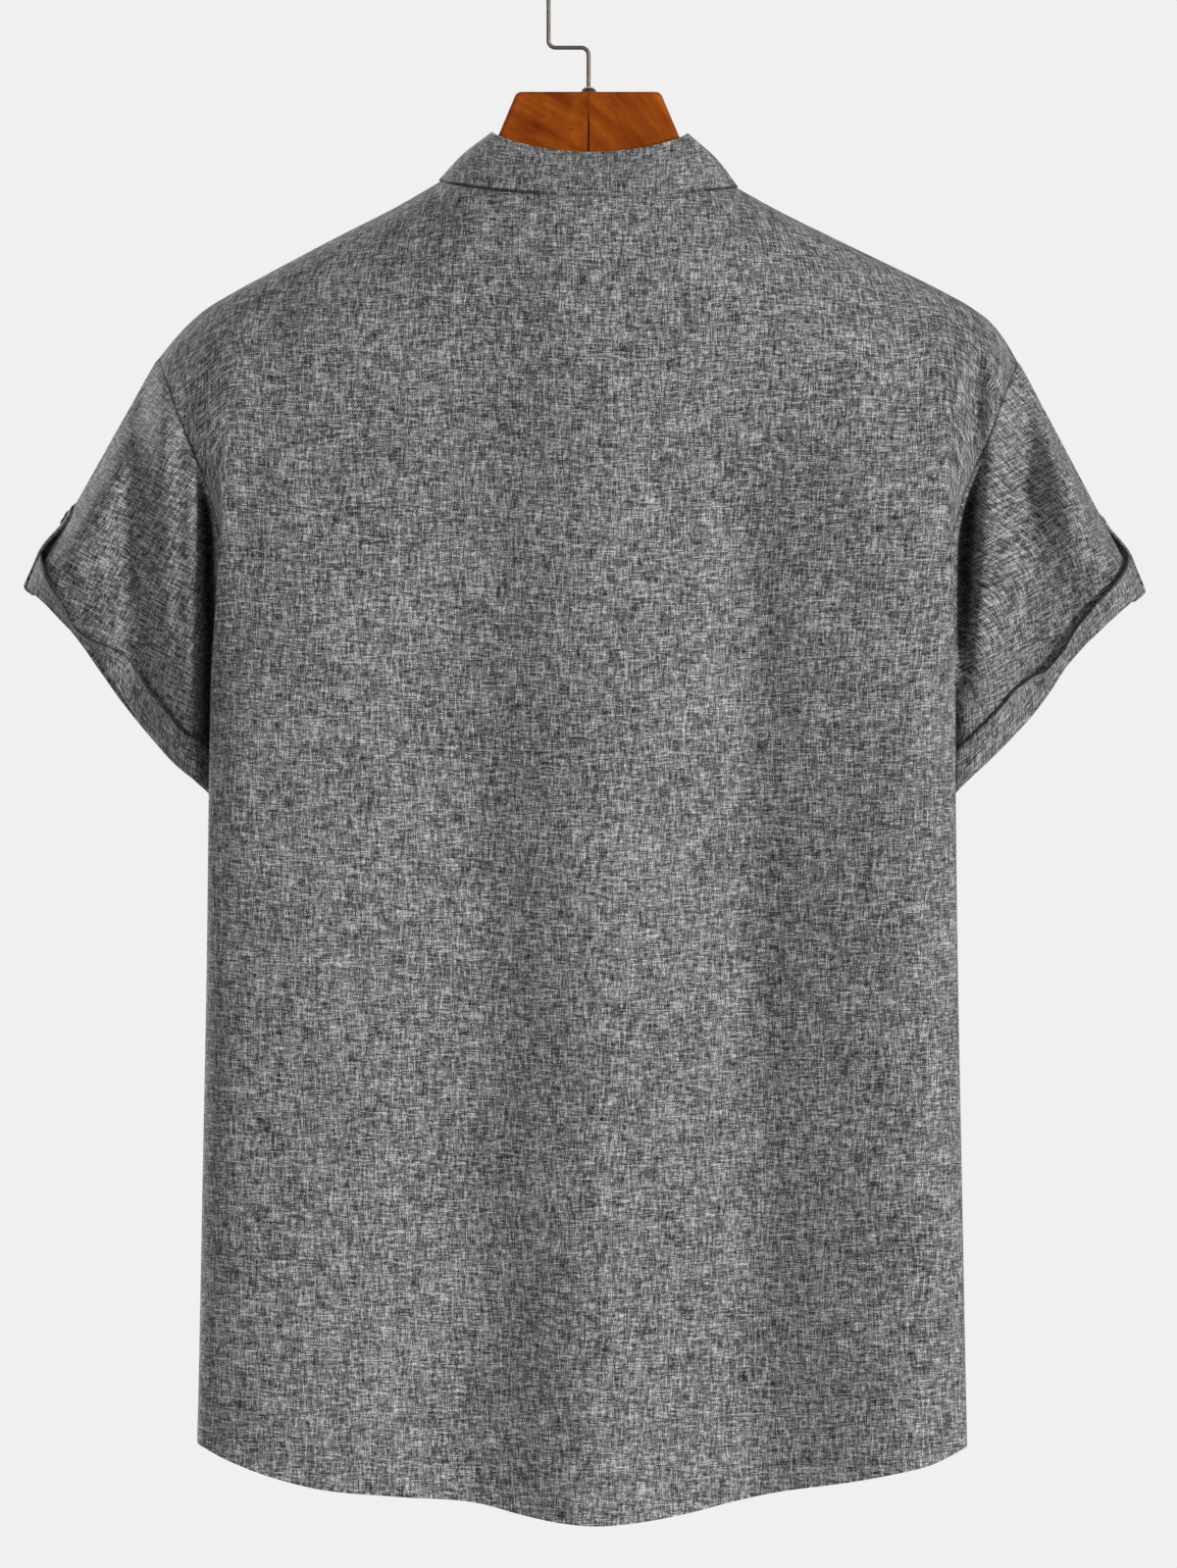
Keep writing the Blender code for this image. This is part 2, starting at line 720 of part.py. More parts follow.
def front_frame(row):
    """A point on the middle of the left front, with its normal."""
    step = 0.02
    across = front_point(LEFT, step, row) - front_point(LEFT, -step, row)
    up = front_point(LEFT, 0, row + step) - front_point(LEFT, 0, row - step)
    normal = np.cross(across, up)
    return front_point(LEFT, 0, row), normal / np.linalg.norm(normal)


def build_tab_button(name, side, colour):
    up = TAB_LENGTH - 0.011
    place = tab_point(side, up, 0)
    normal = np.cross(tab_point(side, up, 0.004) - tab_point(side, up, -0.004),
                      tab_point(side, up - 0.004, 0) - tab_point(side, up + 0.004, 0))
    normal *= -side / np.linalg.norm(normal)
    build_button(name, place, normal, TAB_BUTTON_RADIUS, colour, 2 * SEAM_GAP)


# ---- hanger ------------------------------------------------------------------------------------
def build_hanger_half(name, side, wood):
    outline = [(max(x, HANGER_JOINT / 2) * side, 0, z) for x, z in HANGER_OUTLINE]
    mesh = bmesh.new()
    verts = [mesh.verts.new(point) for point in (outline if side == RIGHT else outline[::-1])]
    mesh.faces.new(verts)
    half = mesh_object(name, mesh, wood, 35)
    board = half.modifiers.new("board", "SOLIDIFY")
    board.thickness = HANGER_THICK
    board.offset = 0
    edge = half.modifiers.new("edge", "BEVEL")
    edge.width = HANGER_EDGE
    edge.segments = 3
    edge.limit_method = "ANGLE"
    edge.angle_limit = math.radians(40)


def build_washer(metal):
    """The turned ferrule that the wire stands in."""
    mesh = bmesh.new()
    top = HANGER_OUTLINE[0][1] + SEAM_GAP
    bmesh.ops.create_cone(mesh, cap_ends=True, segments=24, radius1=WASHER_RADIUS,
                          radius2=WASHER_RADIUS * 0.6, depth=WASHER_HEIGHT,
                          matrix=Matrix.Translation((0, 0, top + WASHER_HEIGHT / 2)))
    mesh_object("washer", mesh, metal)


def wire_route():
    """Up from the washer, a step to the left, up again and over the crown."""
    foot = HANGER_OUTLINE[0][1] + 2 * SEAM_GAP + WASHER_HEIGHT
    crown = WIRE_RADIUS - HOOK_RADIUS
    bend = [(math.cos(a), math.sin(a)) for a in np.linspace(0, math.pi / 2, 6)]
    route = [(0, foot)]
    route += [(HOOK_BEND * (1 - c), HOOK_STEP - HOOK_BEND * (1 - s)) for c, s in bend]
    route += [(HOOK_RADIUS - HOOK_BEND * (1 - s), HOOK_STEP + HOOK_BEND * (1 - c))
              for c, s in bend]
    route += [(HOOK_RADIUS * math.cos(a), crown + HOOK_RADIUS * math.sin(a))
              for a in np.linspace(0, math.pi + HOOK_TAIL, 30)]
    return route


def build_hook(metal):
    curve = bpy.data.curves.new("hook", "CURVE")
    curve.dimensions = "3D"
    curve.bevel_depth = WIRE_RADIUS
    curve.bevel_resolution = 2
    curve.use_fill_caps = True
    spline = curve.splines.new("POLY")
    route = wire_route()
    spline.points.add(len(route) - 1)
    for point, (x, z) in zip(spline.points, route):
        point.co = (x, 0, z, 1)
    curve.materials.append(metal)
    shirt_collection().objects.link(bpy.data.objects.new("hook", curve))


def main():
    for thing in list(bpy.data.objects):
        bpy.data.objects.remove(thing, do_unlink=True)
    cloth = material("grey_melange", (0.18, 0.185, 0.19), 0.9)
    button = material("grey_button", (0.05, 0.052, 0.055), 0.35)
    wood = material("varnished_wood", (0.26, 0.065, 0.012), 0.3)
    metal = material("satin_nickel", (0.50, 0.46, 0.42), 0.3, 1.0)
    build_body(cloth)
    build_placket("placket", cloth)
    build_placket_buttons(button)
    build_collar_button(button)
    for name, side in (("left", LEFT), ("right", RIGHT)):
        build_cuff(f"cuff_{name}", side, cloth)
        build_tab(f"tab_{name}", side, cloth)
        build_tab_button(f"tab_button_{name}", side, button)
        build_hanger_half(f"hanger_{name}", side, wood)
    build_washer(metal)
    build_hook(metal)


main()
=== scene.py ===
import json
import math

import bmesh
import bpy
import numpy as np
from mathutils import Matrix, Vector
from mathutils.kdtree import KDTree

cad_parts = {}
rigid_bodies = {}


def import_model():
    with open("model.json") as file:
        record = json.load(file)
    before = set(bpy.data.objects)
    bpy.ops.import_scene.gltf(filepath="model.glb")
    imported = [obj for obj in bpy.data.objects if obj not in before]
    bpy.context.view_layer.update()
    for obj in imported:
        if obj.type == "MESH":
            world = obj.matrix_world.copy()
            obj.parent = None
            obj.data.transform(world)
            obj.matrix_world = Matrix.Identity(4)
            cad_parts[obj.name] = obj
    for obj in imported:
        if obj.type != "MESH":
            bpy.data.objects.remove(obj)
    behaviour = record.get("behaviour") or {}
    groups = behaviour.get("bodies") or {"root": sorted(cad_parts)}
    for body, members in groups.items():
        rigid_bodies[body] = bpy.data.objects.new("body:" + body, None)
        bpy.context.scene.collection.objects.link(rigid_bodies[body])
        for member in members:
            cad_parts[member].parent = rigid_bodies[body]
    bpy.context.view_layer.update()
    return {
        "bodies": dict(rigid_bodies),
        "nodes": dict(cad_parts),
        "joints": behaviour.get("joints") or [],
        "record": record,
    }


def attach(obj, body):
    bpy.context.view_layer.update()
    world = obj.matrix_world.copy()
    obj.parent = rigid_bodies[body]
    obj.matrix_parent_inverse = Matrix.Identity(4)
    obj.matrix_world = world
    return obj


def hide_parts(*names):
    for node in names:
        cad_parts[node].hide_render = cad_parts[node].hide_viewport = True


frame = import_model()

LEFT, RIGHT = 1, -1
BACK, FRONT = 1, -1

# ---- sizes of the construction -----------------------------------------------------------------
UNDERARM = -0.408
RIDGE_Y = 0.045
CORNER_POWER = 2.7
NECK_SHARE = 0.34
EDGE_START = 0.70
CORNER_FADE = 0.09
LEAN, LEAN_TOP, LEAN_FOOT = 0.0035, -0.190, -0.480
ROLL = 0.004
LAP, LAP_DEPTH = 0.0150, 0.0022
SECTIONS = (              # height, ridge_x, seam_x, back_y, front_y
    (-0.875, 0.2138, 0.2100, 0.0820, -0.0810),
    (-0.788, 0.2118, 0.2080, 0.0830, -0.0820),
    (-0.680, 0.2097, 0.2060, 0.0840, -0.0830),
    (-0.571, 0.2076, 0.2035, 0.0850, -0.0840),
    (-0.462, 0.2062, 0.2000, 0.0858, -0.0848),
    (-0.408, 0.2056, 0.1965, 0.0860, -0.0850),
)
ARMHOLE = (               # share, back_x, front_x, back_y, front_y, height
    (0.00, 0.1965, 0.1965, 0.0000, 0.0000, -0.4080),
    (0.15, 0.1965, 0.1965, 0.0280, -0.0280, -0.3850),
    (0.30, 0.1995, 0.1995, 0.0450, -0.0450, -0.3580),
    (0.50, 0.2045, 0.2000, 0.0510, -0.0540, -0.3180),
    (0.65, 0.2135, 0.2075, 0.0470, -0.0520, -0.2900),
    (0.78, 0.2235, 0.2180, 0.0390, -0.0440, -0.2660),
    (0.88, 0.2305, 0.2270, 0.0280, -0.0320, -0.2480),
    (0.95, 0.2350, 0.2340, 0.0155, -0.0180, -0.2360),
    (1.00, 0.2387, 0.2387, 0.0000, 0.0000, -0.2270),
)
SHOULDER = (              # reach, height on the left, height on the right
    (0.0820, -0.1278, -0.1306),
    (0.1050, -0.1412, -0.1432),
    (0.1380, -0.1582, -0.1594),
    (0.1750, -0.1779, -0.1771),
    (0.2000, -0.1916, -0.1895),
    (0.2140, -0.2003, -0.1975),
    (0.2280, -0.2138, -0.2098),
    (0.2387, -0.2270, -0.2270),
)
BACK_HEM = (              # reach, height
    (0.2135, -0.8266),
    (0.2000, -0.8337),
    (0.1850, -0.8399),
    (0.1500, -0.8500),
    (0.1014, -0.8550),
    (0.0560, -0.8588),
    (0.0330, -0.8648),
    (0.0110, -0.8690),
    (-0.0060, -0.8703),
    (-0.0310, -0.8685),
    (-0.0550, -0.8643),
    (-0.0860, -0.8566),
    (-0.1025, -0.8529),
    (-0.1500, -0.8455),
    (-0.1740, -0.8409),
    (-0.1930, -0.8363),
    (-0.2135, -0.8266),
)
FRONT_HEM = (
    (0.2135, -0.8266),
    (0.2000, -0.8334),
    (0.1850, -0.8392),
    (0.1400, -0.8498),
    (0.0900, -0.8546),
    (0.0400, -0.8600),
    (0.0000, -0.8612),
    (-0.0400, -0.8592),
    (-0.0900, -0.8538),
    (-0.1400, -0.8450),
    (-0.1850, -0.8370),
    (-0.2000, -0.8330),
    (-0.2135, -0.8266),
)
BACK_FOLDS = (            # reach, half_width, relief at the hem
    (0.163, 0.042, 0.0065),
    (0.064, 0.034, -0.0125),
    (-0.006, 0.034, 0.0120),
    (-0.098, 0.040, -0.0150),
    (-0.172, 0.030, 0.0095),
)
FRONT_FOLDS = (
    (0.158, 0.036, 0.0070),
    (0.092, 0.036, -0.0095),
    (-0.084, 0.034, -0.0080),
    (-0.150, 0.038, 0.0075),
)
FOLD_GROWTH = (           # row, share of the relief at the hem
    (0.00, 1.00),
    (0.50, 0.76),
    (1.00, 0.58),
    (1.50, 0.40),
    (1.80, 0.12),
    (2.00, 0.00),
)
NECK_BACK, NECK_FRONT = (0.050, -0.1362), (-0.052, -0.1900)
COLLAR_SIDE, COLLAR_LEAN = (0.0543, -0.1020), -0.0008
COLLAR_BACK, COLLAR_FRONT = (0.0250, -0.1130), (-0.0290, -0.1590)
COLLAR_SWELL = 0.0018
COLLAR_POWER = 3.0
SLEEVE_OUTER = (0.3085, -0.012, -0.3545)
SLEEVE_INNER = (0.2050, -0.008, -0.4755)
SLEEVE_HALF_DEPTH, SLEEVE_ROUNDNESS = 0.031, 0.62
SLEEVE_PUSH = 0.040
TAB_WIDTH, TAB_LENGTH, TAB_TURN = 0.022, 0.056, 0.515
PLACKET_WIDTH = 0.030
PLACKET_BUTTONS = 6
FIRST_BUTTON, BUTTON_SPACING = 0.060, 0.088
HANGER_THICK = 0.018
HANGER_OUTLINE = (        # reach, height
    (0.0000, -0.0786),
    (0.0398, -0.0786),
    (0.0490, -0.1005),
    (0.0540, -0.1120),
    (0.0630, -0.1215),
    (0.0820, -0.1368),
    (0.1050, -0.1492),
    (0.1380, -0.1642),
    (0.1750, -0.1828),
    (0.1950, -0.1932),
    (0.2005, -0.2015),
    (0.1970, -0.2095),
    (0.1820, -0.2100),
    (0.1400, -0.1940),
    (0.0900, -0.1720),
    (0.0450, -0.1540),
    (0.0000, -0.1480),
)
WASHER_HEIGHT = 0.0022
WIRE_RADIUS = 0.00115
HOOK_RADIUS, HOOK_STEP, HOOK_BEND, HOOK_TAIL = 0.0222, -0.0540, 0.0040, 0.22

# ---- looks -------------------------------------------------------------------------------------
CLOTH = 0.0007            # wall of one layer of the shown cloth
BAND = 0.0014             # wall of doubled cloth
SEAM_DEPTH = 0.0007       # how deep the cloth dips into a seam
SEAM_REACH = 0.0028       # how far from the seam the dip begins
SEAM_GAP = 0.00012        # how far each side of a seam draws back
LAYER_GAP = 0.0003        # between two layers that lie on each other
HEM_WIDTH = 0.0080
GROOVE = 0.00018          # how deep a row of stitches lies
GROOVE_REACH = 0.0011
GATHER, GATHER_SPACING, GATHER_REACH = 0.00016, 0.011, 0.009
PITCH = 0.00066           # spacing of the threads
CUT_ROW = 72              # row of a panel's grid from which heights in the cloth are measured
FRONT_CUT, COLLAR_CUT = (1.37, 0.53), (0.31, 0.17)    # where in the cloth a piece is cut from,
PLACKET_CUT, TAB_CUT = (0.53, 0.29), (0.11, 0.43)     # so that no pattern comes twice


# ---- camera: straight at the back, from far off ------------------------------------------------
CAMERA_DISTANCE = 14.0
VIEW_HEIGHT = 0.8675      # what the picture's height covers, at the cloth
VIEW_PLANE = 0.030        # depth where it is measured
VIEW_CENTRE = -0.4622


def add(name, data):
    """A new object in the scene."""
    made = bpy.data.objects.new(name, data)
    bpy.context.scene.collection.objects.link(made)
    return made


def to_data(mesh, name):
    """The mesh that a bmesh has built."""
    data = bpy.data.meshes.new(name)
    mesh.to_mesh(data)
    mesh.free()
    return data


def make_camera():
    lens = bpy.data.cameras.new("camera")
    lens.sensor_fit = "VERTICAL"
    lens.sensor_height = 36
    lens.sensor_width = 36
    lens.lens = 36 * (CAMERA_DISTANCE - VIEW_PLANE) / VIEW_HEIGHT
    camera = add("camera", lens)
    camera.location = (0, CAMERA_DISTANCE, VIEW_CENTRE)
    camera.rotation_euler = (math.pi / 2, 0, math.pi)
    bpy.context.scene.camera = camera


# ---- reading tables ----------------------------------------------------------------------------
def read(table, at):
    """The columns after the first, on a smooth curve through the table's rows."""
    rows = np.array(table if table[0][0] < table[-1][0] else table[::-1])
    keys, values = rows[:, 0], rows[:, 1:]
    at = np.clip(np.asarray(at, float), keys[0], keys[-1])
    slopes = np.gradient(values, keys, axis=0)
    i = np.clip(np.searchsorted(keys, at, side="right") - 1, 0, len(keys) - 2)
    span = (keys[i + 1] - keys[i])[..., None]
    t = (at - keys[i])[..., None] / span
    return ((2 * t**3 - 3 * t**2 + 1) * values[i] + (t**3 - 2 * t**2 + t) * span * slopes[i]
            + (3 * t**2 - 2 * t**3) * values[i + 1] + (t**3 - t**2) * span * slopes[i + 1])


def smooth_step(low, high, at):
    t = np.clip((at - low) / (high - low), 0.0, 1.0)
    return t * t * (3 - 2 * t)


def bump(at, reach):
    """1 at 0, falling smoothly to nothing at reach."""
    return 1 - smooth_step(0, reach, np.abs(at))


def unit(vectors):
    return vectors / np.maximum(np.linalg.norm(vectors, axis=-1, keepdims=True), 1e-12)


def line_lengths(points):
    """Distance along a line from its first point."""
    return np.concatenate(([0], np.cumsum(np.linalg.norm(np.diff(points, axis=0), axis=1))))


def between(at, keys, points):
    """Places on a line whose points lie at the keys."""
    return np.stack([np.interp(at, keys, points[:, k]) for k in range(3)], axis=-1)


# ---- the construction's form -------------------------------------------------------------------
def half_section(face, height, steps=40):
    """Half of a body section, from the middle of the back or front to the left side seam."""
    ridge_x, seam_x, back_y, front_y = read(SECTIONS, height)
    depth = back_y if face == BACK else front_y
    ridge_y = RIDGE_Y * face
    turn = np.linspace(math.pi / 2, 0, steps)
    power = 2 / CORNER_POWER
    rounded = np.stack((ridge_x * np.maximum(np.cos(turn), 0)**power,
                        ridge_y + (depth - ridge_y) * np.sin(turn)**power,
                        np.full(steps, height)), axis=1)
    rounded[0, 0] = 0
    t = np.linspace(0.95, 0, steps // 4)
    side = np.stack((seam_x + (ridge_x - seam_x) * smooth_step(0, 1, t), ridge_y * t,
                     np.full(len(t), height)), axis=1)
    return np.concatenate((rounded, side))


def body_section_point(face, u, height):
    points = half_section(face, height)
    lengths = line_lengths(points)
    point = between(abs(u) * lengths[-1], lengths, points)
    point[0] *= 1 if u >= 0 else -1
    return point


def shoulder_height(side, reach):
    return read(SHOULDER, reach)[0 if side == LEFT else 1]


def top_line(face, u):
    """The neckline and then the shoulder seam."""
    share, side = abs(u), LEFT if u >= 0 else RIGHT
    neck_reach = SHOULDER[0][0]
    if share <= NECK_SHARE:
        depth, height = NECK_BACK if face == BACK else NECK_FRONT
        side_height = shoulder_height(side, neck_reach)
        turn = share / NECK_SHARE * math.pi / 2
        point = np.array([neck_reach * math.sin(turn), depth * math.cos(turn),
                          side_height + (height - side_height) * math.cos(turn)**1.6])
    else:
        out = SHOULDER[-1][0] - neck_reach
        reach = neck_reach + out * (share - NECK_SHARE) / (1 - NECK_SHARE)
        point = np.array([reach, 0.0, shoulder_height(side, reach)])
    point[0] *= side
    return point


def soft_top(face, u, share):
    """The top line as it shapes the cloth below, where its corner at the neck point fades out."""
    spread = CORNER_FADE * smooth_step(0, 0.25, 1 - share)
    if spread == 0:
        return top_line(face, u)
    return sum(top_line(face, u + spread * k) for k in np.linspace(-1, 1, 9)) / 9


def armhole_point(side, face, share):
    back_x, front_x, back_y, front_y, height = read(ARMHOLE, share)
    x, y = (back_x, back_y) if face == BACK else (front_x, front_y)
    return np.array([side * x, y, height])


def upper_point(face, u, share):
    low = body_section_point(face, u, UNDERARM)
    top = soft_top(face, u, share)
    drop_power = 0.85 - 0.35 * smooth_step(0.05, 0.36, abs(u))
    rounding = (1 - share**2.2)**drop_power
    return np.array([low[0] + (top[0] - low[0]) * share**1.5,
                     top[1] + (low[1] - top[1]) * rounding,
                     low[2] + (top[2] - low[2]) * share])


def fold_relief(face, x, row):
    folds = BACK_FOLDS if face == BACK else FRONT_FOLDS
    waves = sum(relief * math.exp(-((x - reach) / half_width)**2)
                for reach, half_width, relief in folds)
    return face * waves * read(FOLD_GROWTH, row)[0]


def hang(points):
    """The shirt leans and rolls a little on its hanger."""
    x, y, z = np.moveaxis(np.asarray(points, float), -1, 0)
    lean = LEAN * smooth_step(-LEAN_TOP, -LEAN_FOOT, -z)
    return np.stack((x + lean, y, z + ROLL * x), axis=-1)


def body_point(face, u, row):
    """row runs from 0 at the hem over 1 at the underarm to 2 at the shoulder seam."""
    side = LEFT if u >= 0 else RIGHT
    if row <= 1:
        hem_x = body_section_point(face, u, -0.85)[0]
        hem_height = read(BACK_HEM if face == BACK else FRONT_HEM, hem_x)[0]
        point = body_section_point(face, u, hem_height + (UNDERARM - hem_height) * row)
    else:
        point = upper_point(face, u, row - 1)
        pull = smooth_step(EDGE_START, 1.0, abs(u))
        edge = armhole_point(side, face, row - 1) - upper_point(face, side, row - 1)
        point = point + pull * edge
    point[1] += fold_relief(face, point[0], row) * (1 - smooth_step(0.78, 0.97, abs(u)))
    return hang(point)


def front_point(side, u, row):
    """The right front sinks behind the left one near the middle."""
    point = body_point(FRONT, u, row)
    if side == RIGHT:
        point[1] += LAP_DEPTH * smooth_step(-0.050, -0.018, point[0])
    return point


def lap_share(row):
    """The share of a half row that measures the lap, at a row."""
    return 0.1 * LAP / abs(front_point(LEFT, 0.1, row)[0] - front_point(LEFT, 0, row)[0])


def armhole_ring(side, turns):
    """turn 0 is the underarm, 0.5 the shoulder tip; the back comes first."""
    back = turns <= 0.5
    values = read(ARMHOLE, np.where(back, turns * 2, (1 - turns) * 2))
    x = side * np.where(back, values[..., 0], values[..., 1])
    y = np.where(back, values[..., 2], values[..., 3])
    return hang(np.stack((x, y, values[..., 4]), axis=-1))


def hem_ring(side, turns):
    outer, inner = np.array(SLEEVE_OUTER), np.array(SLEEVE_INNER)
    angle = (turns * 2 * math.pi)[..., None]
    points = (outer + inner) / 2 - (outer - inner) / 2 * np.cos(angle)
    depth = np.sin(angle[..., 0])
    points[..., 1] += SLEEVE_HALF_DEPTH * np.sign(depth) * np.abs(depth)**SLEEVE_ROUNDNESS
    points[..., 0] *= side
    return hang(points)


def sleeve_form(side, turns, shares):
    """Points of the sleeve, from the armhole (share 0) to the hem (share 1), on bowed lines."""
    turns, t = np.broadcast_arrays(np.mod(turns, 1.0), shares)
    start = armhole_ring(side, turns)
    run = hem_ring(side, turns) - start
    under = (np.cos(turns * math.pi)**4)[..., None]
    t = t[..., None]
    leave = run + under * SLEEVE_PUSH * np.array([side, 0, 0.3])
    return start + (t**3 - 2 * t**2 + t) * leave + (2 * t**2 - t**3) * run


# ---- finer grids -------------------------------------------------------------------------------
NEAR_SEAM = (0.06, 0.13, 0.22, 0.34, 0.55)     # columns and rows added beside a seam
HEM_ROWS = (0.04, 0.12, 0.22, 0.30, 0.36, 0.40, 0.435, 0.47, 0.52, 0.60, 0.80)


def smooth_rows(grid, at):
    """Rows of a grid at fractional places, on smooth curves through its own rows."""
    at = np.asarray(at, float)
    padded = np.concatenate((2 * grid[:1] - grid[1:2], grid, 2 * grid[-1:] - grid[-2:-1]))
    i = np.clip(np.floor(at).astype(int), 0, len(grid) - 2)
    t = (at - i).reshape((-1,) + (1,) * (grid.ndim - 1))
    a, b, c, d = padded[i], padded[i + 1], padded[i + 2], padded[i + 3]
    return 0.5 * (2 * b + (c - a) * t + (2 * a - 5 * b + 4 * c - d) * t**2
                  + (3 * b - a - 3 * c + d) * t**3)


def refine(grid, rows, columns):
    return smooth_rows(smooth_rows(grid, rows).swapaxes(0, 1), columns).swapaxes(0, 1)


def finer(count, steps, start=(), end=()):
    """Places 0 to count - 1, each span cut in steps, with more near an end."""
    places = set(np.round(np.linspace(0, count - 1, (count - 1) * steps + 1), 5))
    places |= {round(p, 5) for p in start}
    places |= {round(count - 1 - p, 5) for p in end}
    ordered = sorted(places)
    kept = [ordered[0]]
    for place in ordered[1:]:
        if place - kept[-1] > 0.03:
            kept.append(place)
    kept[-1] = float(count - 1)
    return np.array(kept)


def half_columns():
    neck = np.linspace(0, NECK_SHARE, 13)
    shoulder = np.linspace(NECK_SHARE, 1, 21)
    return np.concatenate((neck, shoulder[1:]))


def row_values():
    upper = 1 - (1 - np.linspace(0, 1, 25))**1.25
    return np.concatenate((np.linspace(0, 1, 25), 1 + upper[1:]))


ROWS = finer(49, 3, HEM_ROWS, NEAR_SEAM)


def ring_turns():
    """Round the armhole, at the ends of the body's rows."""
    up = smooth_rows(row_values()[:, None], ROWS)[:, 0]
    up = (up[up >= 1 - 1e-9] - 1) / 2
    up[0] = 0
    return np.concatenate((up, 1 - up[-2:0:-1]))


def spans(grid, axis):
    """Distance along the grid's lines from their first point."""
    steps = np.linalg.norm(np.diff(grid, axis=axis), axis=2)
    start = np.zeros_like(np.take(steps, [0], axis=axis))
    return np.concatenate((start, np.cumsum(steps, axis=axis)), axis=axis)


def edge_distance(grid, edge):
    """How far each point lies from one edge, along the cloth."""
    axis = 0 if edge in ("foot", "head") else 1
    run = spans(grid, axis)
    if edge in ("foot", "start"):
        return run
    return np.take(run, [-1], axis=axis) - run


def grid_normals(grid, closed=False, flip=False):
    down = np.gradient(grid, axis=0)
    if closed:
        across = (np.roll(grid, -1, axis=1) - np.roll(grid, 1, axis=1)) / 2
    else:
        across = np.gradient(grid, axis=1)
    return unit(np.cross(across, down)) * (-1 if flip else 1)


# ---- folds --------------------------------------------------------------------------------------
# Soft ridges and troughs of the hung cloth, on lines from a top to a foot, as seen from behind.
BACK_CREASES = (          # top x, top z, foot x, foot z, half width at top, at foot, relief
    (0.186, -0.262, 0.150, -0.420, 0.012, 0.030, 0.0016),
    (0.205, -0.300, 0.196, -0.520, 0.009, 0.014, 0.0012),
    (0.120, -0.175, 0.096, -0.420, 0.020, 0.040, -0.0012),
    (0.020, -0.160, 0.036, -0.420, 0.022, 0.040, 0.0010),
    (-0.050, -0.160, -0.060, -0.400, 0.020, 0.034, 0.0012),
    (-0.130, -0.185, -0.120, -0.420, 0.020, 0.034, 0.0014),
    (-0.196, -0.262, -0.168, -0.420, 0.012, 0.028, 0.0014),
    (0.110, -0.560, 0.118, -0.850, 0.016, 0.026, 0.0014),
    (-0.042, -0.600, -0.050, -0.860, 0.014, 0.022, -0.0010),
    (0.064, -0.400, 0.066, -0.860, 0.026, 0.034, -0.0022),
    (-0.006, -0.400, -0.006, -0.860, 0.026, 0.034, 0.0012),
    (-0.084, -0.300, -0.086, -0.860, 0.022, 0.028, -0.0120),
    (0.180, -0.220, 0.190, -0.430, 0.030, 0.030, 0.0045),
    (0.196, -0.250, 0.196, -0.860, 0.024, 0.024, 0.0030),
    (-0.190, -0.340, -0.192, -0.860, 0.026, 0.028, 0.0120),
)
FRONT_CREASES = (
    (0.178, -0.262, 0.140, -0.440, 0.012, 0.030, 0.0018),
    (0.110, -0.190, 0.085, -0.420, 0.018, 0.036, -0.0014),
    (0.066, -0.215, 0.052, -0.470, 0.012, 0.026, 0.0014),
    (-0.070, -0.215, -0.060, -0.450, 0.012, 0.026, 0.0012),
    (-0.120, -0.190, -0.106, -0.440, 0.018, 0.034, -0.0012),
    (-0.185, -0.262, -0.150, -0.430, 0.012, 0.028, 0.0016),
    (0.190, -0.480, 0.196, -0.800, 0.014, 0.018, 0.0012),
    (0.118, -0.620, 0.124, -0.850, 0.014, 0.024, 0.0016),
    (-0.112, -0.560, -0.116, -0.850, 0.014, 0.022, 0.0014),
)
SLEEVE_CREASES = (        # behind, on the left and then on the right
    (0.2345, -0.2250, 0.2305, -0.4900, 0.0085, 0.0115, 0.0115),
    (0.2200, -0.2950, 0.2185, -0.5000, 0.0060, 0.0080, 0.0090),
    (0.2200, -0.3850, 0.2190, -0.5300, 0.0090, 0.0110, 0.0080),
    (0.2505, -0.2250, 0.2470, -0.4000, 0.0060, 0.0105, -0.0050),
    (0.2494, -0.2718, 0.3007, -0.3610, 0.0140, 0.0150, 0.0095),
    (0.2760, -0.3250, 0.2640, -0.4100, 0.0150, 0.0180, 0.0030),
    (0.2960, -0.3330, 0.2800, -0.3620, 0.0040, 0.0060, -0.0016),
    (-0.2150, -0.2250, -0.2130, -0.2850, 0.0050, 0.0055, -0.0100),
    (-0.2260, -0.2400, -0.2230, -0.4100, 0.0065, 0.0090, 0.0055),
    (-0.2365, -0.2300, -0.2500, -0.3150, 0.0058, 0.0085, -0.0080),
    (-0.2475, -0.2300, -0.2680, -0.3200, 0.0068, 0.0110, 0.0110),
    (-0.2560, -0.2800, -0.3000, -0.3640, 0.0140, 0.0280, 0.0220),
    (-0.2420, -0.3150, -0.2400, -0.4300, 0.0120, 0.0160, -0.0070),
    (-0.2820, -0.3380, -0.2960, -0.3420, 0.0030, 0.0040, 0.0014),
)
SLEEVE_FRONT_CREASES = (
    (0.2280, -0.2350, 0.2400, -0.4000, 0.0100, 0.0150, -0.0030),
    (0.2440, -0.2400, 0.2720, -0.3700, 0.0110, 0.0140, 0.0034),
    (-0.2260, -0.2350, -0.2380, -0.4000, 0.0100, 0.0150, -0.0028),
    (-0.2420, -0.2400, -0.2700, -0.3700, 0.0110, 0.0140, 0.0032),
    (0.2494, -0.2718, 0.3007, -0.3610, 0.0140, 0.0150, 0.0060),
    (-0.2494, -0.2718, -0.2950, -0.3600, 0.0140, 0.0150, 0.0060),
)
CREASES = (BACK_CREASES + SLEEVE_CREASES, FRONT_CREASES + SLEEVE_FRONT_CREASES)
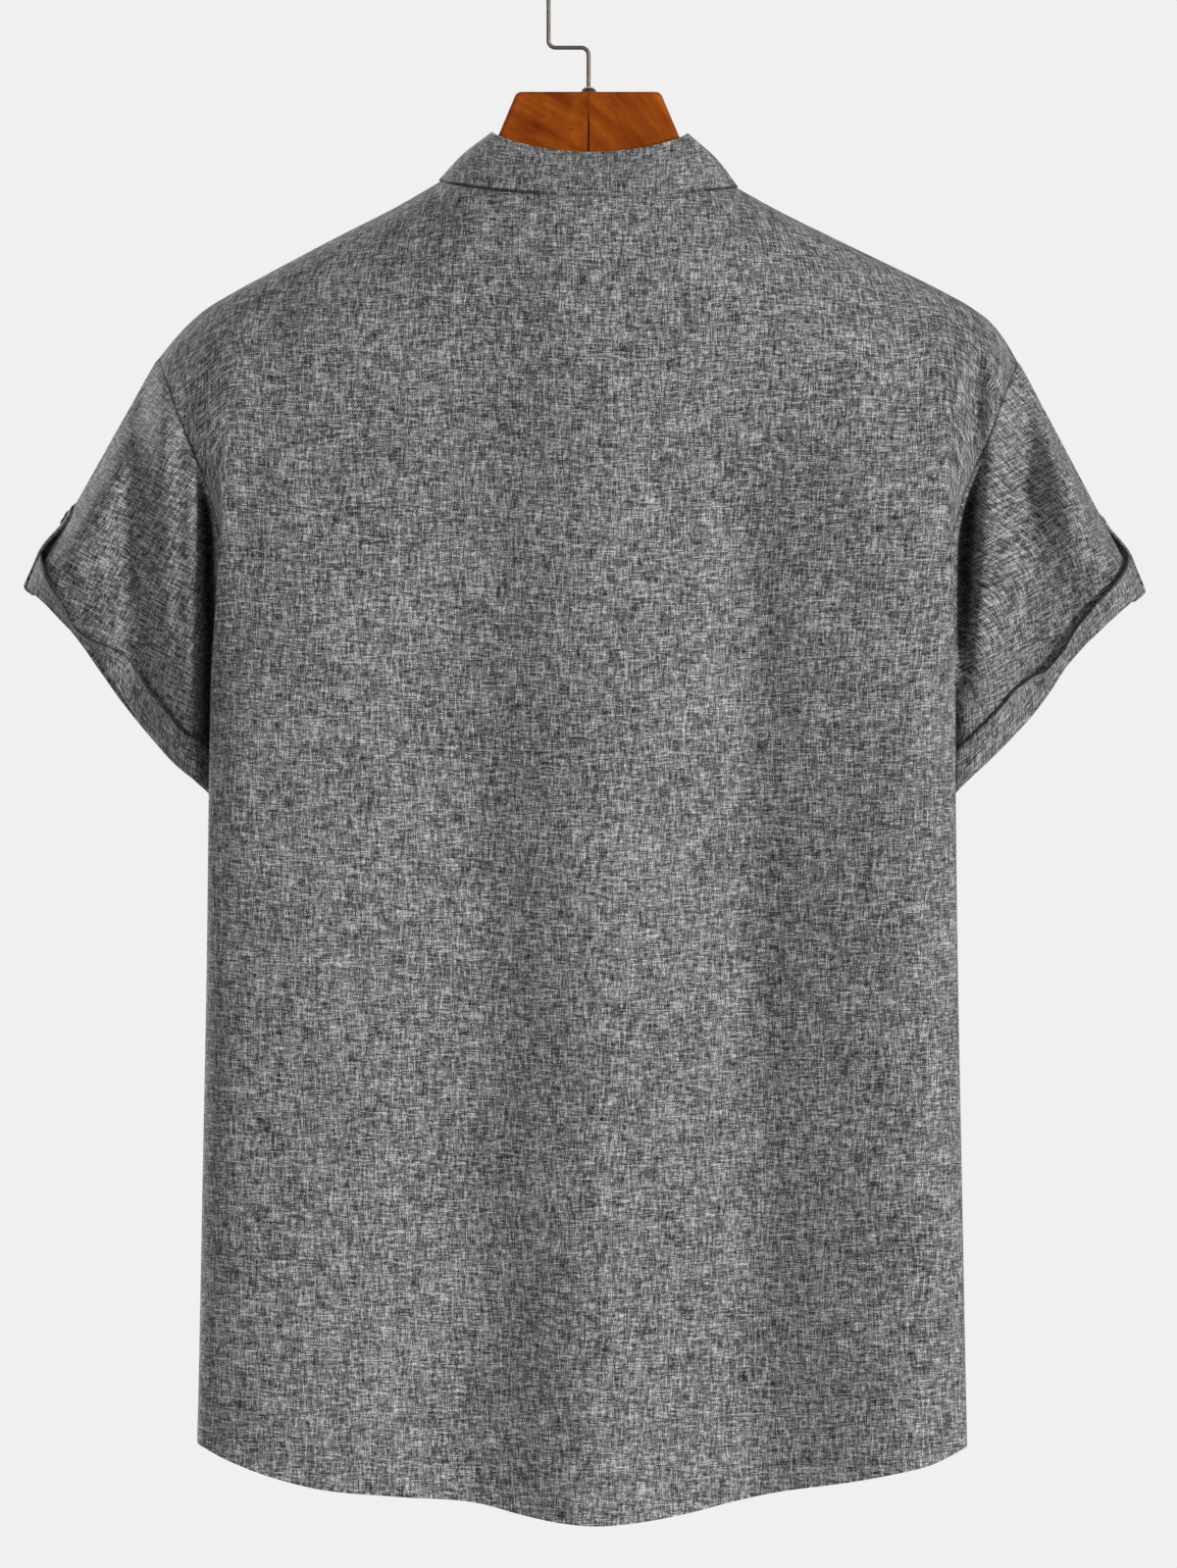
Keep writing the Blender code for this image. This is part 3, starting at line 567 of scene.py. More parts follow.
SLEEVE_POCKETS = {        # where a sleeve is pressed in beside the body: top, foot, half width
    LEFT: (0.2110, -0.2850, 0.2070, -0.5000, 0.0030),
    RIGHT: (-0.2105, -0.2850, -0.2065, -0.3900, 0.0048),
}
WAVES = (                 # spacing across, spacing down, turn, relief
    (0.118, 0.310, 0.3, 0.00050),
    (0.071, 0.190, 1.9, 0.00035),
    (0.043, 0.120, 4.1, 0.00018),
)


def crease(points, creases):
    """The height that ridges and troughs add, at points given by x and z."""
    x, z = points[..., 0], points[..., 2]
    total = np.zeros_like(x)
    for top_x, top_z, foot_x, foot_z, top_width, foot_width, relief in creases:
        run = np.array([foot_x - top_x, foot_z - top_z])
        length = np.linalg.norm(run)
        along = ((x - top_x) * run[0] + (z - top_z) * run[1]) / length**2
        aside = ((x - top_x) * run[1] - (z - top_z) * run[0]) / length
        width = top_width + (foot_width - top_width) * np.clip(along, 0, 1)
        fade = smooth_step(-0.22, 0.22, along) * (1 - smooth_step(0.72, 1.25, along))
        total += relief * fade * np.exp(-(aside / width)**2)
    return total


def waves(points):
    x, z = points[..., 0], points[..., 2]
    return sum(relief * np.sin(2 * math.pi * x / across + turn + 1.3 * np.sin(
        2 * math.pi * z / down + turn * 2.1)) for across, down, turn, relief in WAVES)


def follow(points, middle=0.0, reach=0.012):
    """Moves cloth along Y by the folds of its side, and less within reach of the middle plane."""
    moved = points.copy()
    depth = points[..., 1] - middle
    share = smooth_step(0.1 * reach, reach, np.abs(depth)) * np.sign(depth)
    behind, before = (crease(points, creases) for creases in CREASES)
    relief = np.where(depth > 0, behind, before)
    moved[..., 1] += share * (relief + waves(points))
    return moved


# ---- shells -------------------------------------------------------------------------------------
def part_edges(grid, edges):
    """Draws each named edge back from the seam."""
    moved = grid.copy()
    for edge in edges:
        end, within = (0, 1) if edge in ("foot", "start") else (-1, -2)
        if edge in ("foot", "head"):
            moved[end] += SEAM_GAP * unit(grid[within] - grid[end])
        else:
            moved[:, end] += SEAM_GAP * unit(grid[:, within] - grid[:, end])
    return moved


def join_normals(pieces):
    """Where the edges of two pieces meet, both take the mean of their normals."""
    rims = []
    for grid, normals in pieces:
        edge = np.zeros(grid.shape[:2], bool)
        edge[[0, -1]] = True
        edge[:, [0, -1]] = True
        rims.append(np.argwhere(edge))
    points = [grid[i, j] for (grid, _), rim in zip(pieces, rims) for i, j in rim]
    facing = [normals[i, j].copy() for (_, normals), rim in zip(pieces, rims) for i, j in rim]
    tree = KDTree(len(points))
    for index, point in enumerate(points):
        tree.insert(point, index)
    tree.balance()
    index = 0
    for (grid, normals), rim in zip(pieces, rims):
        for i, j in rim:
            near = tree.find_range(points[index], 0.0006)
            normals[i, j] = unit(sum(facing[k] for _, k, _ in near))
            index += 1


def rim_rows(outer, inner, way, steps=3):
    """Rows of a rounded edge, from the outer side to the inner one."""
    middle, half = (outer + inner) / 2, (outer - inner) / 2
    out = unit(way) * np.linalg.norm(half, axis=1, keepdims=True)
    return [middle + half * math.cos(a) + out * math.sin(a)
            for a in np.linspace(0, math.pi, steps + 2)[1:-1]]


def shell(name, grid, normals, thickness, cut, material, closed=False, rounded=(), shade=None):
    """A closed shell with its outer side on the grid. cut gives the cloth's own coordinates; shade
    goes into the seam attribute as painted shade.
    """
    inner = grid - normals * np.broadcast_to(thickness, grid.shape[:2])[..., None]
    count, columns = grid.shape[:2]
    rows, source = list(grid), list(range(count))
    if "head" in rounded:
        extra = rim_rows(grid[-1], inner[-1], grid[-1] - grid[-2])
        rows += extra
        source += [count - 1] * len(extra)
    first_inner = len(rows)
    rows += list(inner[::-1])
    source += list(range(count - 1, -1, -1))
    if "foot" in rounded:
        extra = rim_rows(grid[0], inner[0], grid[0] - grid[1])[::-1]
        rows += extra
        source += [0] * len(extra)
    total = len(rows)
    source = np.array(source)
    r, j = (a.ravel() for a in np.meshgrid(
        np.arange(total), np.arange(columns if closed else columns - 1), indexing="ij"))
    corners = [(r, j), (r, j + 1), ((r + 1) % total, j + 1), ((r + 1) % total, j)]
    places = np.stack([np.stack(corner, axis=1) for corner in corners], axis=1)
    if not closed:
        i = np.arange(count - 1)
        under = first_inner + count - 1 - i
        for column in (0, columns - 1):
            side = np.full(len(i), column)
            cap = [(i, side), (i + 1, side), (under - 1, side), (under, side)]
            cap = np.stack([np.stack(corner, axis=1) for corner in cap], axis=1)
            places = np.concatenate((places, cap if column == 0 else cap[:, ::-1]))
    verts = np.concatenate(rows)
    faces = places[..., 0] * columns + places[..., 1] % columns
    a, b, c, d = (verts[faces[:, k]] for k in range(4))
    volume = np.einsum("ij,ij->", a, np.cross(b, c)) + np.einsum("ij,ij->", a, np.cross(c, d))
    if volume < 0:
        faces, places = faces[:, ::-1], places[:, ::-1]
    corner_cut = cut[source[places[..., 0]], places[..., 1]].reshape(-1, 2)
    faces = faces.tolist()
    ends = {"head": [*range(count - 1, first_inner + 1)],
            "foot": [*range(first_inner + count - 1, total), 0]}
    for end in () if closed else rounded:
        for column in (0, columns - 1):
            tip = [k * columns + column for k in ends[end]]
            faces.append(tip[::-1] if (column == 0) == (volume < 0) else tip)
            own = cut[-1 if end == "head" else 0, column]
            corner_cut = np.concatenate((corner_cut, np.tile(own, (len(tip), 1))))
    mesh = bpy.data.meshes.new(name)
    mesh.from_pydata(verts.tolist(), [], faces)
    mesh.uv_layers.new(name="weave").data.foreach_set("uv", corner_cut.reshape(-1))
    # The seam attribute holds painted shade, which the cloth's material turns dark.
    tone = np.zeros((count, columns)) if shade is None else shade
    mesh.attributes.new("seam", "FLOAT", "POINT").data.foreach_set("value", tone[source].ravel())
    return show(name, mesh, material)


def show(name, mesh, material, angle=50):
    mesh.shade_smooth()
    mesh.set_sharp_from_angle(angle=math.radians(angle))
    mesh.materials.append(material)
    mesh.update()
    return add(name, mesh)


def dip(grid, normals, edges):
    """Cloth sinks into the seams along its named edges; also says how near a seam is, which is
    painted as shade along the seam.
    """
    sink = np.zeros(grid.shape[:2])
    for edge in edges:
        sink = np.maximum(sink, bump(edge_distance(grid, edge), SEAM_REACH))
    return grid - normals * (SEAM_DEPTH * sink)[..., None], sink


def groove(grid, normals, edge, distance):
    """A shallow channel that a row of stitches draws in, so far from an edge."""
    near = bump(edge_distance(grid, edge) - distance, GROOVE_REACH)
    return grid - normals * (GROOVE * near)[..., None]


def cloth_cut(grid, middle, level):
    """Cloth coordinates in metres, of a panel that hangs with its grain upright."""
    steps = np.diff(grid, axis=1)
    across = np.concatenate((np.zeros((len(grid), 1)),
                             np.cumsum(np.hypot(steps[..., 0], steps[..., 1]), axis=1)), axis=1)
    steps = np.diff(grid, axis=0)
    up = np.concatenate((np.zeros((1, grid.shape[1])),
                         np.cumsum(np.hypot(steps[..., 1], steps[..., 2]), axis=0)))
    return np.stack((across - across[:, [middle]], up - up[[level]]), axis=2)


# ---- stitches -----------------------------------------------------------------------------------
STITCH, STITCH_GAP, THREAD = 0.0022, 0.0007, 0.00019


def stitch_mesh():
    """One stitch along X, one unit long, its ends sunk in the cloth."""
    verts, faces = [(-0.5, 0, -0.9)], []
    for x, size in ((-0.34, 0.85), (0.34, 0.85)):
        verts += [(x, size * math.cos(a), size * math.sin(a))
                  for a in np.linspace(0, 2 * math.pi, 6, endpoint=False)]
    verts.append((0.5, 0, -0.9))
    for k in range(6):
        n = (k + 1) % 6
        faces += [(0, 1 + n, 1 + k), (1 + k, 1 + n, 7 + n, 7 + k), (7 + k, 7 + n, 13)]
    return np.array(verts), faces


def stitch_places(points, normals):
    """Even stitches along a line on the cloth: middle, direction, normal and length of each."""
    run = line_lengths(points)
    starts = np.arange(STITCH_GAP, run[-1] - STITCH, STITCH + STITCH_GAP)
    head, tail = between(starts + STITCH, run, points), between(starts, run, points)
    facing = unit(between(starts + STITCH / 2, run, normals))
    return [(m, w, n, STITCH) for m, w, n in zip((head + tail) / 2, head - tail, facing)]


def sew(name, places, material, radius=THREAD):
    """One piece of all the stitches of a panel."""
    template, template_faces = stitch_mesh()
    verts, faces = [], []
    for middle, way, normal, length in places:
        along = unit(way)
        aside = unit(np.cross(normal, along))
        out = np.cross(along, aside)
        base = len(verts)
        for x, y, z in template:
            verts.append(middle + along * x * length + aside * y * radius
                         + out * (z + 0.15) * radius)
        faces += [[base + k for k in face] for face in template_faces]
    mesh = bpy.data.meshes.new(name)
    mesh.from_pydata([tuple(v) for v in verts], [], faces)
    return show(name, mesh, material, 80)


def line_at(grid, normals, edge, distance):
    """The line that runs so far from an edge, with its normals."""
    run = edge_distance(grid, edge)
    along_rows = edge in ("foot", "head")
    if not along_rows:
        run, grid, normals = run.T, grid.swapaxes(0, 1), normals.swapaxes(0, 1)
    if edge in ("head", "end"):
        run, grid, normals = run[::-1], grid[::-1], normals[::-1]
    points, facing = (np.array([between(distance, run[:, j], values[:, j])
                                for j in range(grid.shape[1])]) for values in (grid, normals))
    return points, unit(facing)


# ---- the shirt's panels -------------------------------------------------------------------------
def coarse_body():
    half, rows = half_columns(), row_values()
    columns = np.concatenate((-half[:0:-1], half))
    back = np.array([[body_point(BACK, u, row) for u in columns] for row in rows])
    fronts = {side: np.array([[front_point(side, side * u, row) for u in (-lap_share(row), *half)]
                              for row in rows]) for side in (LEFT, RIGHT)}
    return back, fronts


def body_panels():
    back, fronts = coarse_body()
    side_columns = finer(65, 3, NEAR_SEAM, NEAR_SEAM)
    panels = {"back": refine(back, ROWS, side_columns)}
    for side, name in ((LEFT, "front_left"), (RIGHT, "front_right")):
        panels[name] = refine(fronts[side], ROWS, finer(34, 3, NEAR_SEAM, NEAR_SEAM))
    return {name: follow(grid) for name, grid in panels.items()}


def pocket(side, points, shares):
    """The share of its depth that a sleeve loses beside the body."""
    top_x, top_z, foot_x, foot_z, width = SLEEVE_POCKETS[side]
    along = (points[..., 2] - top_z) / (foot_z - top_z)
    aside = points[..., 0] - (top_x + (foot_x - top_x) * along)
    fade = smooth_step(-0.25, 0.15, along) * (1 - smooth_step(0.45, 1.35, along))
    fade = fade * smooth_step(0.0, 0.05, shares) * (1 - smooth_step(0.62, 0.84, shares))
    return 0.88 * fade * np.exp(-(aside / width)**2)


def sleeve_grid(side, turns, shares, pressed=1.0):
    """Sleeve points with their folds; shares may differ from turn to turn."""
    turns, shares = np.broadcast_arrays(turns, shares)
    points = sleeve_form(side, turns, shares)
    middle = -0.010 * shares
    points = follow(points, middle, 0.012 + 0.012 * shares)
    lost = pressed * pocket(side, points, shares)
    points[..., 1] = middle + (points[..., 1] - middle) * (1 - lost)
    return points


def sleeve_facing(side, turns, shares):
    step = 0.004
    across = sleeve_grid(side, turns + step, shares) - sleeve_grid(side, turns - step, shares)
    down = sleeve_grid(side, turns, shares + step) - sleeve_grid(side, turns, shares - step)
    return unit(np.cross(across, down)) * side


def sleeve_lengths(side, turns):
    points = sleeve_form(side, turns[None, :], np.linspace(0, 1, 17)[:, None])
    return np.linalg.norm(np.diff(points, axis=0), axis=2).sum(axis=0)


SOFTENING = 240           # passes, so that the weave runs on past the pinch


def soften(table, times):
    """A table with each row drawn towards the rows beside it."""
    for _ in range(times):
        above, below = np.vstack((table[:1], table[:-1])), np.vstack((table[1:], table[-1:]))
        table = (above + 2 * table + below) / 4
    return table


def sleeve_cut(side, grid):
    """Cloth coordinates along and across a sleeve, whose grain turns with it."""
    tip_x, tip_z = SHOULDER[-1][:2]
    top = np.array([tip_x * side, tip_z])
    way = unit(np.array([(SLEEVE_OUTER[0] - tip_x) * side, SLEEVE_OUTER[2] - tip_z]))
    flat = grid[..., [0, 2]] - top
    down = flat @ way
    aside = flat @ np.array([-way[1], way[0]])
    closed = np.concatenate((grid, grid[:, :1]), axis=1)
    wide = np.concatenate((aside, aside[:, :1]), axis=1)
    steps = soften(np.hypot(np.diff(wide, axis=1), np.diff(closed[..., 1], axis=1)), SOFTENING)
    round_it = np.concatenate((np.zeros((len(grid), 1)), np.cumsum(steps, axis=1)), axis=1)
    middle = grid.shape[1] // 2
    return np.stack((round_it - round_it[:, [middle]],
                     -np.concatenate((down, down[:, :1]), axis=1)), axis=2)


# ---- cuffs --------------------------------------------------------------------------------------
# The turned-up band by turn round the sleeve, from the underarm over the back (0.5 is the outer
# end) to the front: how high its fold and its free edge lie over the hem, and how far the edge
# stands off. The band buckles half way along the back of each sleeve.
CUFF_LINES = {
    LEFT: (               # turn, fold, edge, stand-off
        (0.000, 0.0006, 0.0215, 0.0012),
        (0.100, 0.0012, 0.0215, 0.0010),
        (0.200, 0.0020, 0.0212, 0.0014),
        (0.245, 0.0030, 0.0203, 0.0022),
        (0.272, 0.0038, 0.0182, 0.0034),
        (0.292, 0.0042, 0.0140, 0.0055),
        (0.312, 0.0034, 0.0090, 0.0070),
        (0.335, 0.0014, 0.0066, 0.0075),
        (0.361, 0.0003, 0.0080, 0.0065),
        (0.403, 0.0000, 0.0113, 0.0050),
        (0.455, 0.0000, 0.0162, 0.0032),
        (0.500, 0.0000, 0.0200, 0.0020),
        (0.600, 0.0000, 0.0215, 0.0012),
        (0.800, 0.0000, 0.0215, 0.0024),
        (1.000, 0.0006, 0.0215, 0.0012),
    ),
    RIGHT: (
        (0.000, 0.0006, 0.0215, 0.0012),
        (0.100, 0.0012, 0.0215, 0.0010),
        (0.180, 0.0018, 0.0212, 0.0014),
        (0.225, 0.0024, 0.0200, 0.0020),
        (0.250, 0.0028, 0.0150, 0.0032),
        (0.268, 0.0026, 0.0100, 0.0040),
        (0.290, 0.0010, 0.0086, 0.0042),
        (0.330, 0.0000, 0.0112, 0.0042),
        (0.400, 0.0000, 0.0150, 0.0036),
        (0.455, 0.0000, 0.0180, 0.0030),
        (0.500, 0.0000, 0.0205, 0.0020),
        (0.600, 0.0000, 0.0215, 0.0012),
        (0.800, 0.0000, 0.0215, 0.0024),
        (1.000, 0.0006, 0.0215, 0.0012),
    ),
}
HEM_BOW = {               # share of the way in from the outer end, rise of the hem
    LEFT: ((0.00, 0.0000), (0.09, 0.0024), (0.16, 0.0030), (0.26, 0.0028), (0.39, 0.0010),
           (0.53, -0.0008), (0.67, -0.0012), (0.80, -0.0006), (0.90, 0.0026), (1.00, 0.0060)),
    RIGHT: ((0.00, 0.0000), (0.10, 0.0026), (0.20, 0.0044), (0.28, 0.0052), (0.37, 0.0044),
            (0.46, 0.0022), (0.55, 0.0008), (0.65, 0.0010), (0.83, 0.0034), (1.00, 0.0078)),
}
CUFF_INSIDE = 0.0140      # how far the band reaches up inside
FOLD_LIFT = 0.0012        # the middle of the fold's round over its line
CUFF_TURNS = 224
CUFF_STITCH = 0.0020      # from the free edge to its row of stitches


def cuff_base(side, turns, up):
    """A share of the sleeve that lies so far up from its bowed hem."""
    lengths = sleeve_lengths(side, turns)
    inward = (1 + np.cos(2 * math.pi * turns)) / 2
    bow = read(HEM_BOW[side], inward)[..., 0]
    return 1 - (up + bow) / lengths


def on_sleeve(side, turns, up, out):
    share = cuff_base(side, turns, up)
    return sleeve_grid(side, turns, share) + sleeve_facing(side, turns, share) * out[..., None]


def cuff_grid(side, turns):
    """Outer side of the band: down inside the sleeve, round the fold and up to its free edge."""
    lines = read(CUFF_LINES[side], turns)
    fold, edge, stand = lines[:, 0], lines[:, 1], lines[:, 2]
    inside = -(CLOTH + LAYER_GAP + BAND)
    outside = LAYER_GAP + BAND
    radius, centre = (outside - inside) / 2, (outside + inside) / 2
    rows = []
    for up in np.linspace(CUFF_INSIDE, FOLD_LIFT, 5)[:-1]:
        rows.append(on_sleeve(side, turns, fold + up, np.full(len(turns), inside)))
    for angle in np.linspace(0, math.pi, 9):
        rows.append(on_sleeve(side, turns, fold + FOLD_LIFT - radius * math.sin(angle),
                              np.full(len(turns), centre - radius * math.cos(angle))))
    for t in np.linspace(0, 1, 15)[1:]:
        up = FOLD_LIFT + fold + t * (edge - fold - FOLD_LIFT)
        rows.append(on_sleeve(side, turns, up, outside + stand * t**1.3
                              + 0.0004 * math.sin(math.pi * t)))
    return np.array(rows)


def build_cuffs(cloth, thread):
    for name, side in (("left", LEFT), ("right", RIGHT)):
        turns = np.linspace(0, 1, CUFF_TURNS, endpoint=False)
        grid = cuff_grid(side, turns)
        normals = grid_normals(grid, True, side == LEFT)
        grid = groove(grid, normals, "head", CUFF_STITCH)
        cut = sleeve_cut(side, grid)
        cut[..., 1] = edge_distance(grid, "foot")[:, [0]] * np.ones((1, cut.shape[1]))
        # Painted shadow along the band's free edge, where it stands off the sleeve.
        shade = bump(edge_distance(grid, "head"), SEAM_REACH)
        piece = shell(f"band_{name}", grid, normals, BAND, cut, cloth, True, ("head", "foot"), shade)
        dress(piece, f"cuff_{name}", cloth=(0.34, 0.041, 0.0126))
        points, facing = line_at(grid, normals, "head", CUFF_STITCH)
        places = stitch_places(*(np.concatenate((line, line[:1])) for line in (points, facing)))
        dress(sew(f"cuff_stitches_{name}", places, thread))


# ---- what the pieces stand for ------------------------------------------------------------------
def dress(piece, *nodes, cloth=None, slot="cloth"):
    """Ties a piece to the shirt's body and hides the solids it stands for; cloth, what cloth it is,
    is not used.
    """
    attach(piece, "root")
    if nodes:
        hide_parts(*nodes)


# ---- body and sleeves ---------------------------------------------------------------------------
def hem_thickness(grid):
    """Cloth is folded under twice along the hem."""
    run = edge_distance(grid, "foot")
    return CLOTH + 0.0008 * (1 - smooth_step(HEM_WIDTH - 0.0008, HEM_WIDTH + 0.0004, run))


def pucker(grid, normals, edge, distance):
    """Small gathers along a row of stitches."""
    near = bump(edge_distance(grid, edge) - distance, GATHER_REACH)
    along = spans(grid, 1)[0]
    wave = np.sin(2 * math.pi * along / GATHER_SPACING + 1.7 * np.sin(along * 61)) * (
        0.6 + 0.4 * np.sin(along * 37 + 0.8))
    return grid + normals * (GATHER * near * wave[None, :])[..., None]


PANELS = {                # flipped, seams, flat width, length and area
    "back": (True, ("head", "start", "end"), (0.56, 0.76, 0.370)),
    "front_left": (False, ("head", "end"), (0.31, 0.75, 0.190)),
    "front_right": (True, ("head", "end"), (0.31, 0.75, 0.190)),
    "sleeve_left": (False, ("foot",), (0.42, 0.16, 0.0385)),
    "sleeve_right": (True, ("foot",), (0.42, 0.16, 0.0385)),
}


def build_body(cloth, thread):
    panels, cuts = body_panels(), {}
    turns = ring_turns()
    for side, name in ((LEFT, "sleeve_left"), (RIGHT, "sleeve_right")):
        fold = read(CUFF_LINES[side], turns)[:, 0] + FOLD_LIFT
        shares = (finer(9, 9, NEAR_SEAM) / 8)[:, None] * cuff_base(side, turns, fold)[None, :]
        panels[name] = sleeve_grid(side, turns[None, :], shares)
        cuts[name] = sleeve_cut(side, sleeve_grid(side, turns[None, :], shares, 0.5))
    normals = {name: grid_normals(grid, name in cuts, PANELS[name][0])
               for name, grid in panels.items()}
    join_normals([(panels[name], normals[name]) for name in panels])
    for name, panel in panels.items():
        facing, seams, sleeve = normals[name], PANELS[name][1], name.startswith("sleeve")
        grid, near = dip(panel, facing, seams)
        thickness = CLOTH
        if not sleeve:
            thickness = hem_thickness(grid)
            grid = groove(grid, facing, "foot", HEM_WIDTH)
            grid = pucker(grid, facing, "foot", HEM_WIDTH)
            points, way = line_at(grid, facing, "foot", HEM_WIDTH)
            dress(sew(f"hem_stitches_{name}", stitch_places(points, way), thread))
            if name == "back":
                cuts[name] = cloth_cut(grid, grid.shape[1] // 2, CUT_ROW)
            else:
                middle = np.argmin(np.abs(grid[0, :, 0]))
                cuts[name] = cloth_cut(grid, middle, CUT_ROW) + FRONT_CUT
        # near, how near a seam is, paints shade along the panel's seams.
        piece = shell(f"panel_{name}", part_edges(grid, seams), facing, thickness, cuts[name],
                      cloth, sleeve, () if sleeve else ("foot",), near)
        dress(piece, name, cloth=PANELS[name][2])
    return panels, normals


# ---- collar -------------------------------------------------------------------------------------
COLLAR_WALL = 0.0018
COLLAR_STAND = 0.0007     # how far its outer side stands proud of the body
COLLAR_STITCH = 0.0021    # from its edges to its rows of stitches
COLLAR_CORNER = 0.010     # radius of the corners of its free edge


def collar_edge(base):
    points = []
    for index, point in enumerate(base):
        x = min(max(point[0] / SHOULDER[0][0], -1.0), 1.0)
        is_back = point[1] > 0
        depth, height = COLLAR_BACK if is_back else COLLAR_FRONT
        reach, side_height = COLLAR_SIDE
        round_fall = math.sqrt(1 - x * x)
        square_fall = (1 - abs(x)**COLLAR_POWER)**(1 / COLLAR_POWER)
        side_z = side_height + ROLL * point[0]
        lap = LAP_DEPTH * smooth_step(-0.050, -0.018, point[0]) if index < len(base) // 2 else 0
        points.append((x * reach + COLLAR_LEAN, depth * square_fall + (0 if is_back else lap),
                       side_z + (height - side_height) * round_fall**1.6))
    return np.array(points)


def collar_grid():
    """Base, middle and free edge, from the under end on the right front to the over end."""
    half = [u for u in half_columns() if u <= NECK_SHARE + 1e-9]
    lap = lap_share(2)
    under = [front_point(RIGHT, -u, 2) for u in [-lap, *half]]
    behind = [body_point(BACK, -u, 2) for u in half[-2::-1]]
    behind += [body_point(BACK, u, 2) for u in half[1:]]
    over = [front_point(LEFT, u, 2) for u in [*half[-2::-1], -lap]]
    base = np.array(under + behind + over)
    edge = collar_edge(base)
    middle = (base + edge) / 2
    swell = middle - middle.mean(axis=0)
    swell[:, 2] = 0.6 * np.linalg.norm(swell[:, :2], axis=1)
    middle = middle + COLLAR_SWELL * unit(swell)
    return np.array([base, middle, edge])


def build_collar(cloth, thread):
    coarse = collar_grid()
    columns = finer(coarse.shape[1], 5, NEAR_SEAM, NEAR_SEAM)
    rows = [0, 0.03, 0.07, 0.11, 0.15, 0.19, 0.25, 0.35, 0.5, 0.65, 0.8, 0.95, 1.1, 1.25, 1.4,
            1.55, 1.66, 1.74, 1.80, 1.84, 1.88, 1.92, 1.96, 2]
    grid = follow(refine(coarse, rows, columns))
    normals = grid_normals(grid, False, True)
    run = spans(grid, 1)[-1]
    ends = np.minimum(run, run[-1] - run)
    from_round = 1 - np.clip(ends / COLLAR_CORNER, 0, 1)
    corner = COLLAR_CORNER * (1 - np.sqrt(np.clip(1 - from_round**2, 0, 1)))
    height = edge_distance(grid, "foot")
    total = height[-1]
    keep = (total - corner) / total
    share = height / total * keep[None, :]
    grid = np.stack([between(share[:, j], height[:, j] / total[j], grid[:, j])
                     for j in range(grid.shape[1])], axis=1)
    grid = grid + normals * COLLAR_STAND
    along = run / 0.013
    ripple = np.sin(2 * math.pi * along + 2.1 * np.sin(run * 43)) * (0.5 + 0.5 * np.sin(run * 29))
    away = np.minimum(edge_distance(grid, "foot"), edge_distance(grid, "head"))
    grid = grid + normals * (0.00022 * ripple[None, :] * bump(away, 0.010))[..., None]
    grid = groove(grid, normals, "foot", COLLAR_STITCH)
    grid = groove(grid, normals, "head", COLLAR_STITCH)
    along = spans(grid, 1)
    cut = np.stack((along - along[:, [grid.shape[1] // 2]], edge_distance(grid, "foot")), axis=2)
    # Painted shade along the collar's foot seam, full at the left and at the right end, weaker in
    # the middle.
    across = grid[0, :, 0]
    painted_shade_strength = 0.7 + 0.3 * np.maximum(smooth_step(0.000, 0.030, across),
                                  smooth_step(0.045, 0.065, -across))
    shade = bump(edge_distance(grid, "foot"), SEAM_REACH) * painted_shade_strength[None, :]
    piece = shell("band_collar", grid, normals, COLLAR_WALL, cut + COLLAR_CUT, cloth, False,
                  ("head", "foot"), shade)
    dress(piece, "collar", cloth=(0.40, 0.044, 0.0166))
    for edge in ("foot", "head"):
        points, facing = line_at(grid, normals, edge, COLLAR_STITCH)
        dress(sew(f"collar_stitches_{edge}", stitch_places(points[2:-2], facing[2:-2]), thread))


# ---- placket ------------------------------------------------------------------------------------
NEAR_MIDDLE = 40          # columns of the left front that the strip covers
MIDDLE = 6                # the middle column of the strip, and of a tab
PLACKET_STITCH = 0.0021


def front_line(panels, normals, offset):
    """A line down the left front, so far from the middle towards its side, and its normals."""
    grid, facing = panels["front_left"], normals["front_left"]
    points, ways = (np.array([between(offset, x, row) for x, row in
                              zip(grid[:, :NEAR_MIDDLE, 0], values[:, :NEAR_MIDDLE])])
                    for values in (grid, facing))
    return points, unit(ways)


def build_placket(panels, normals, cloth, thread):
    places = [-LAP + PLACKET_WIDTH * s for s in
              (0, 0.03, 0.07, 0.11, 0.2, 0.35, 0.5, 0.65, 0.8, 0.89, 0.93, 0.97, 1)]
    lines = [front_line(panels, normals, x) for x in places]
    grid = np.stack([points for points, _ in lines], axis=1)
    facing = np.stack([ways for _, ways in lines], axis=1)
    grid = grid + facing * (CLOTH + LAYER_GAP)
    for edge in ("start", "end"):
        grid = groove(grid, facing, edge, PLACKET_STITCH)
    grid = pucker(grid.swapaxes(0, 1), facing.swapaxes(0, 1), "foot",
                  PLACKET_STITCH).swapaxes(0, 1)
    cut = cloth_cut(grid, MIDDLE, CUT_ROW) + PLACKET_CUT
    piece = shell("placket_band", grid[:-2], facing[:-2], CLOTH, cut[:-2], cloth, False,
                  ("head", "foot"))
    dress(piece, "placket", cloth=(0.030, 0.66, 0.0192))
    for edge in ("start", "end"):
        points, way = line_at(grid, facing, edge, PLACKET_STITCH)
        dress(sew(f"placket_stitches_{edge}", stitch_places(points[:-3], way[:-3]), thread))
    return grid, facing


# ---- buttons ------------------------------------------------------------------------------------
BUTTON_RADIUS, TAB_BUTTON_RADIUS = 0.0054, 0.0050
BUTTONHOLE_HALF, TAB_HOLE_HALF = 0.0072, 0.0066


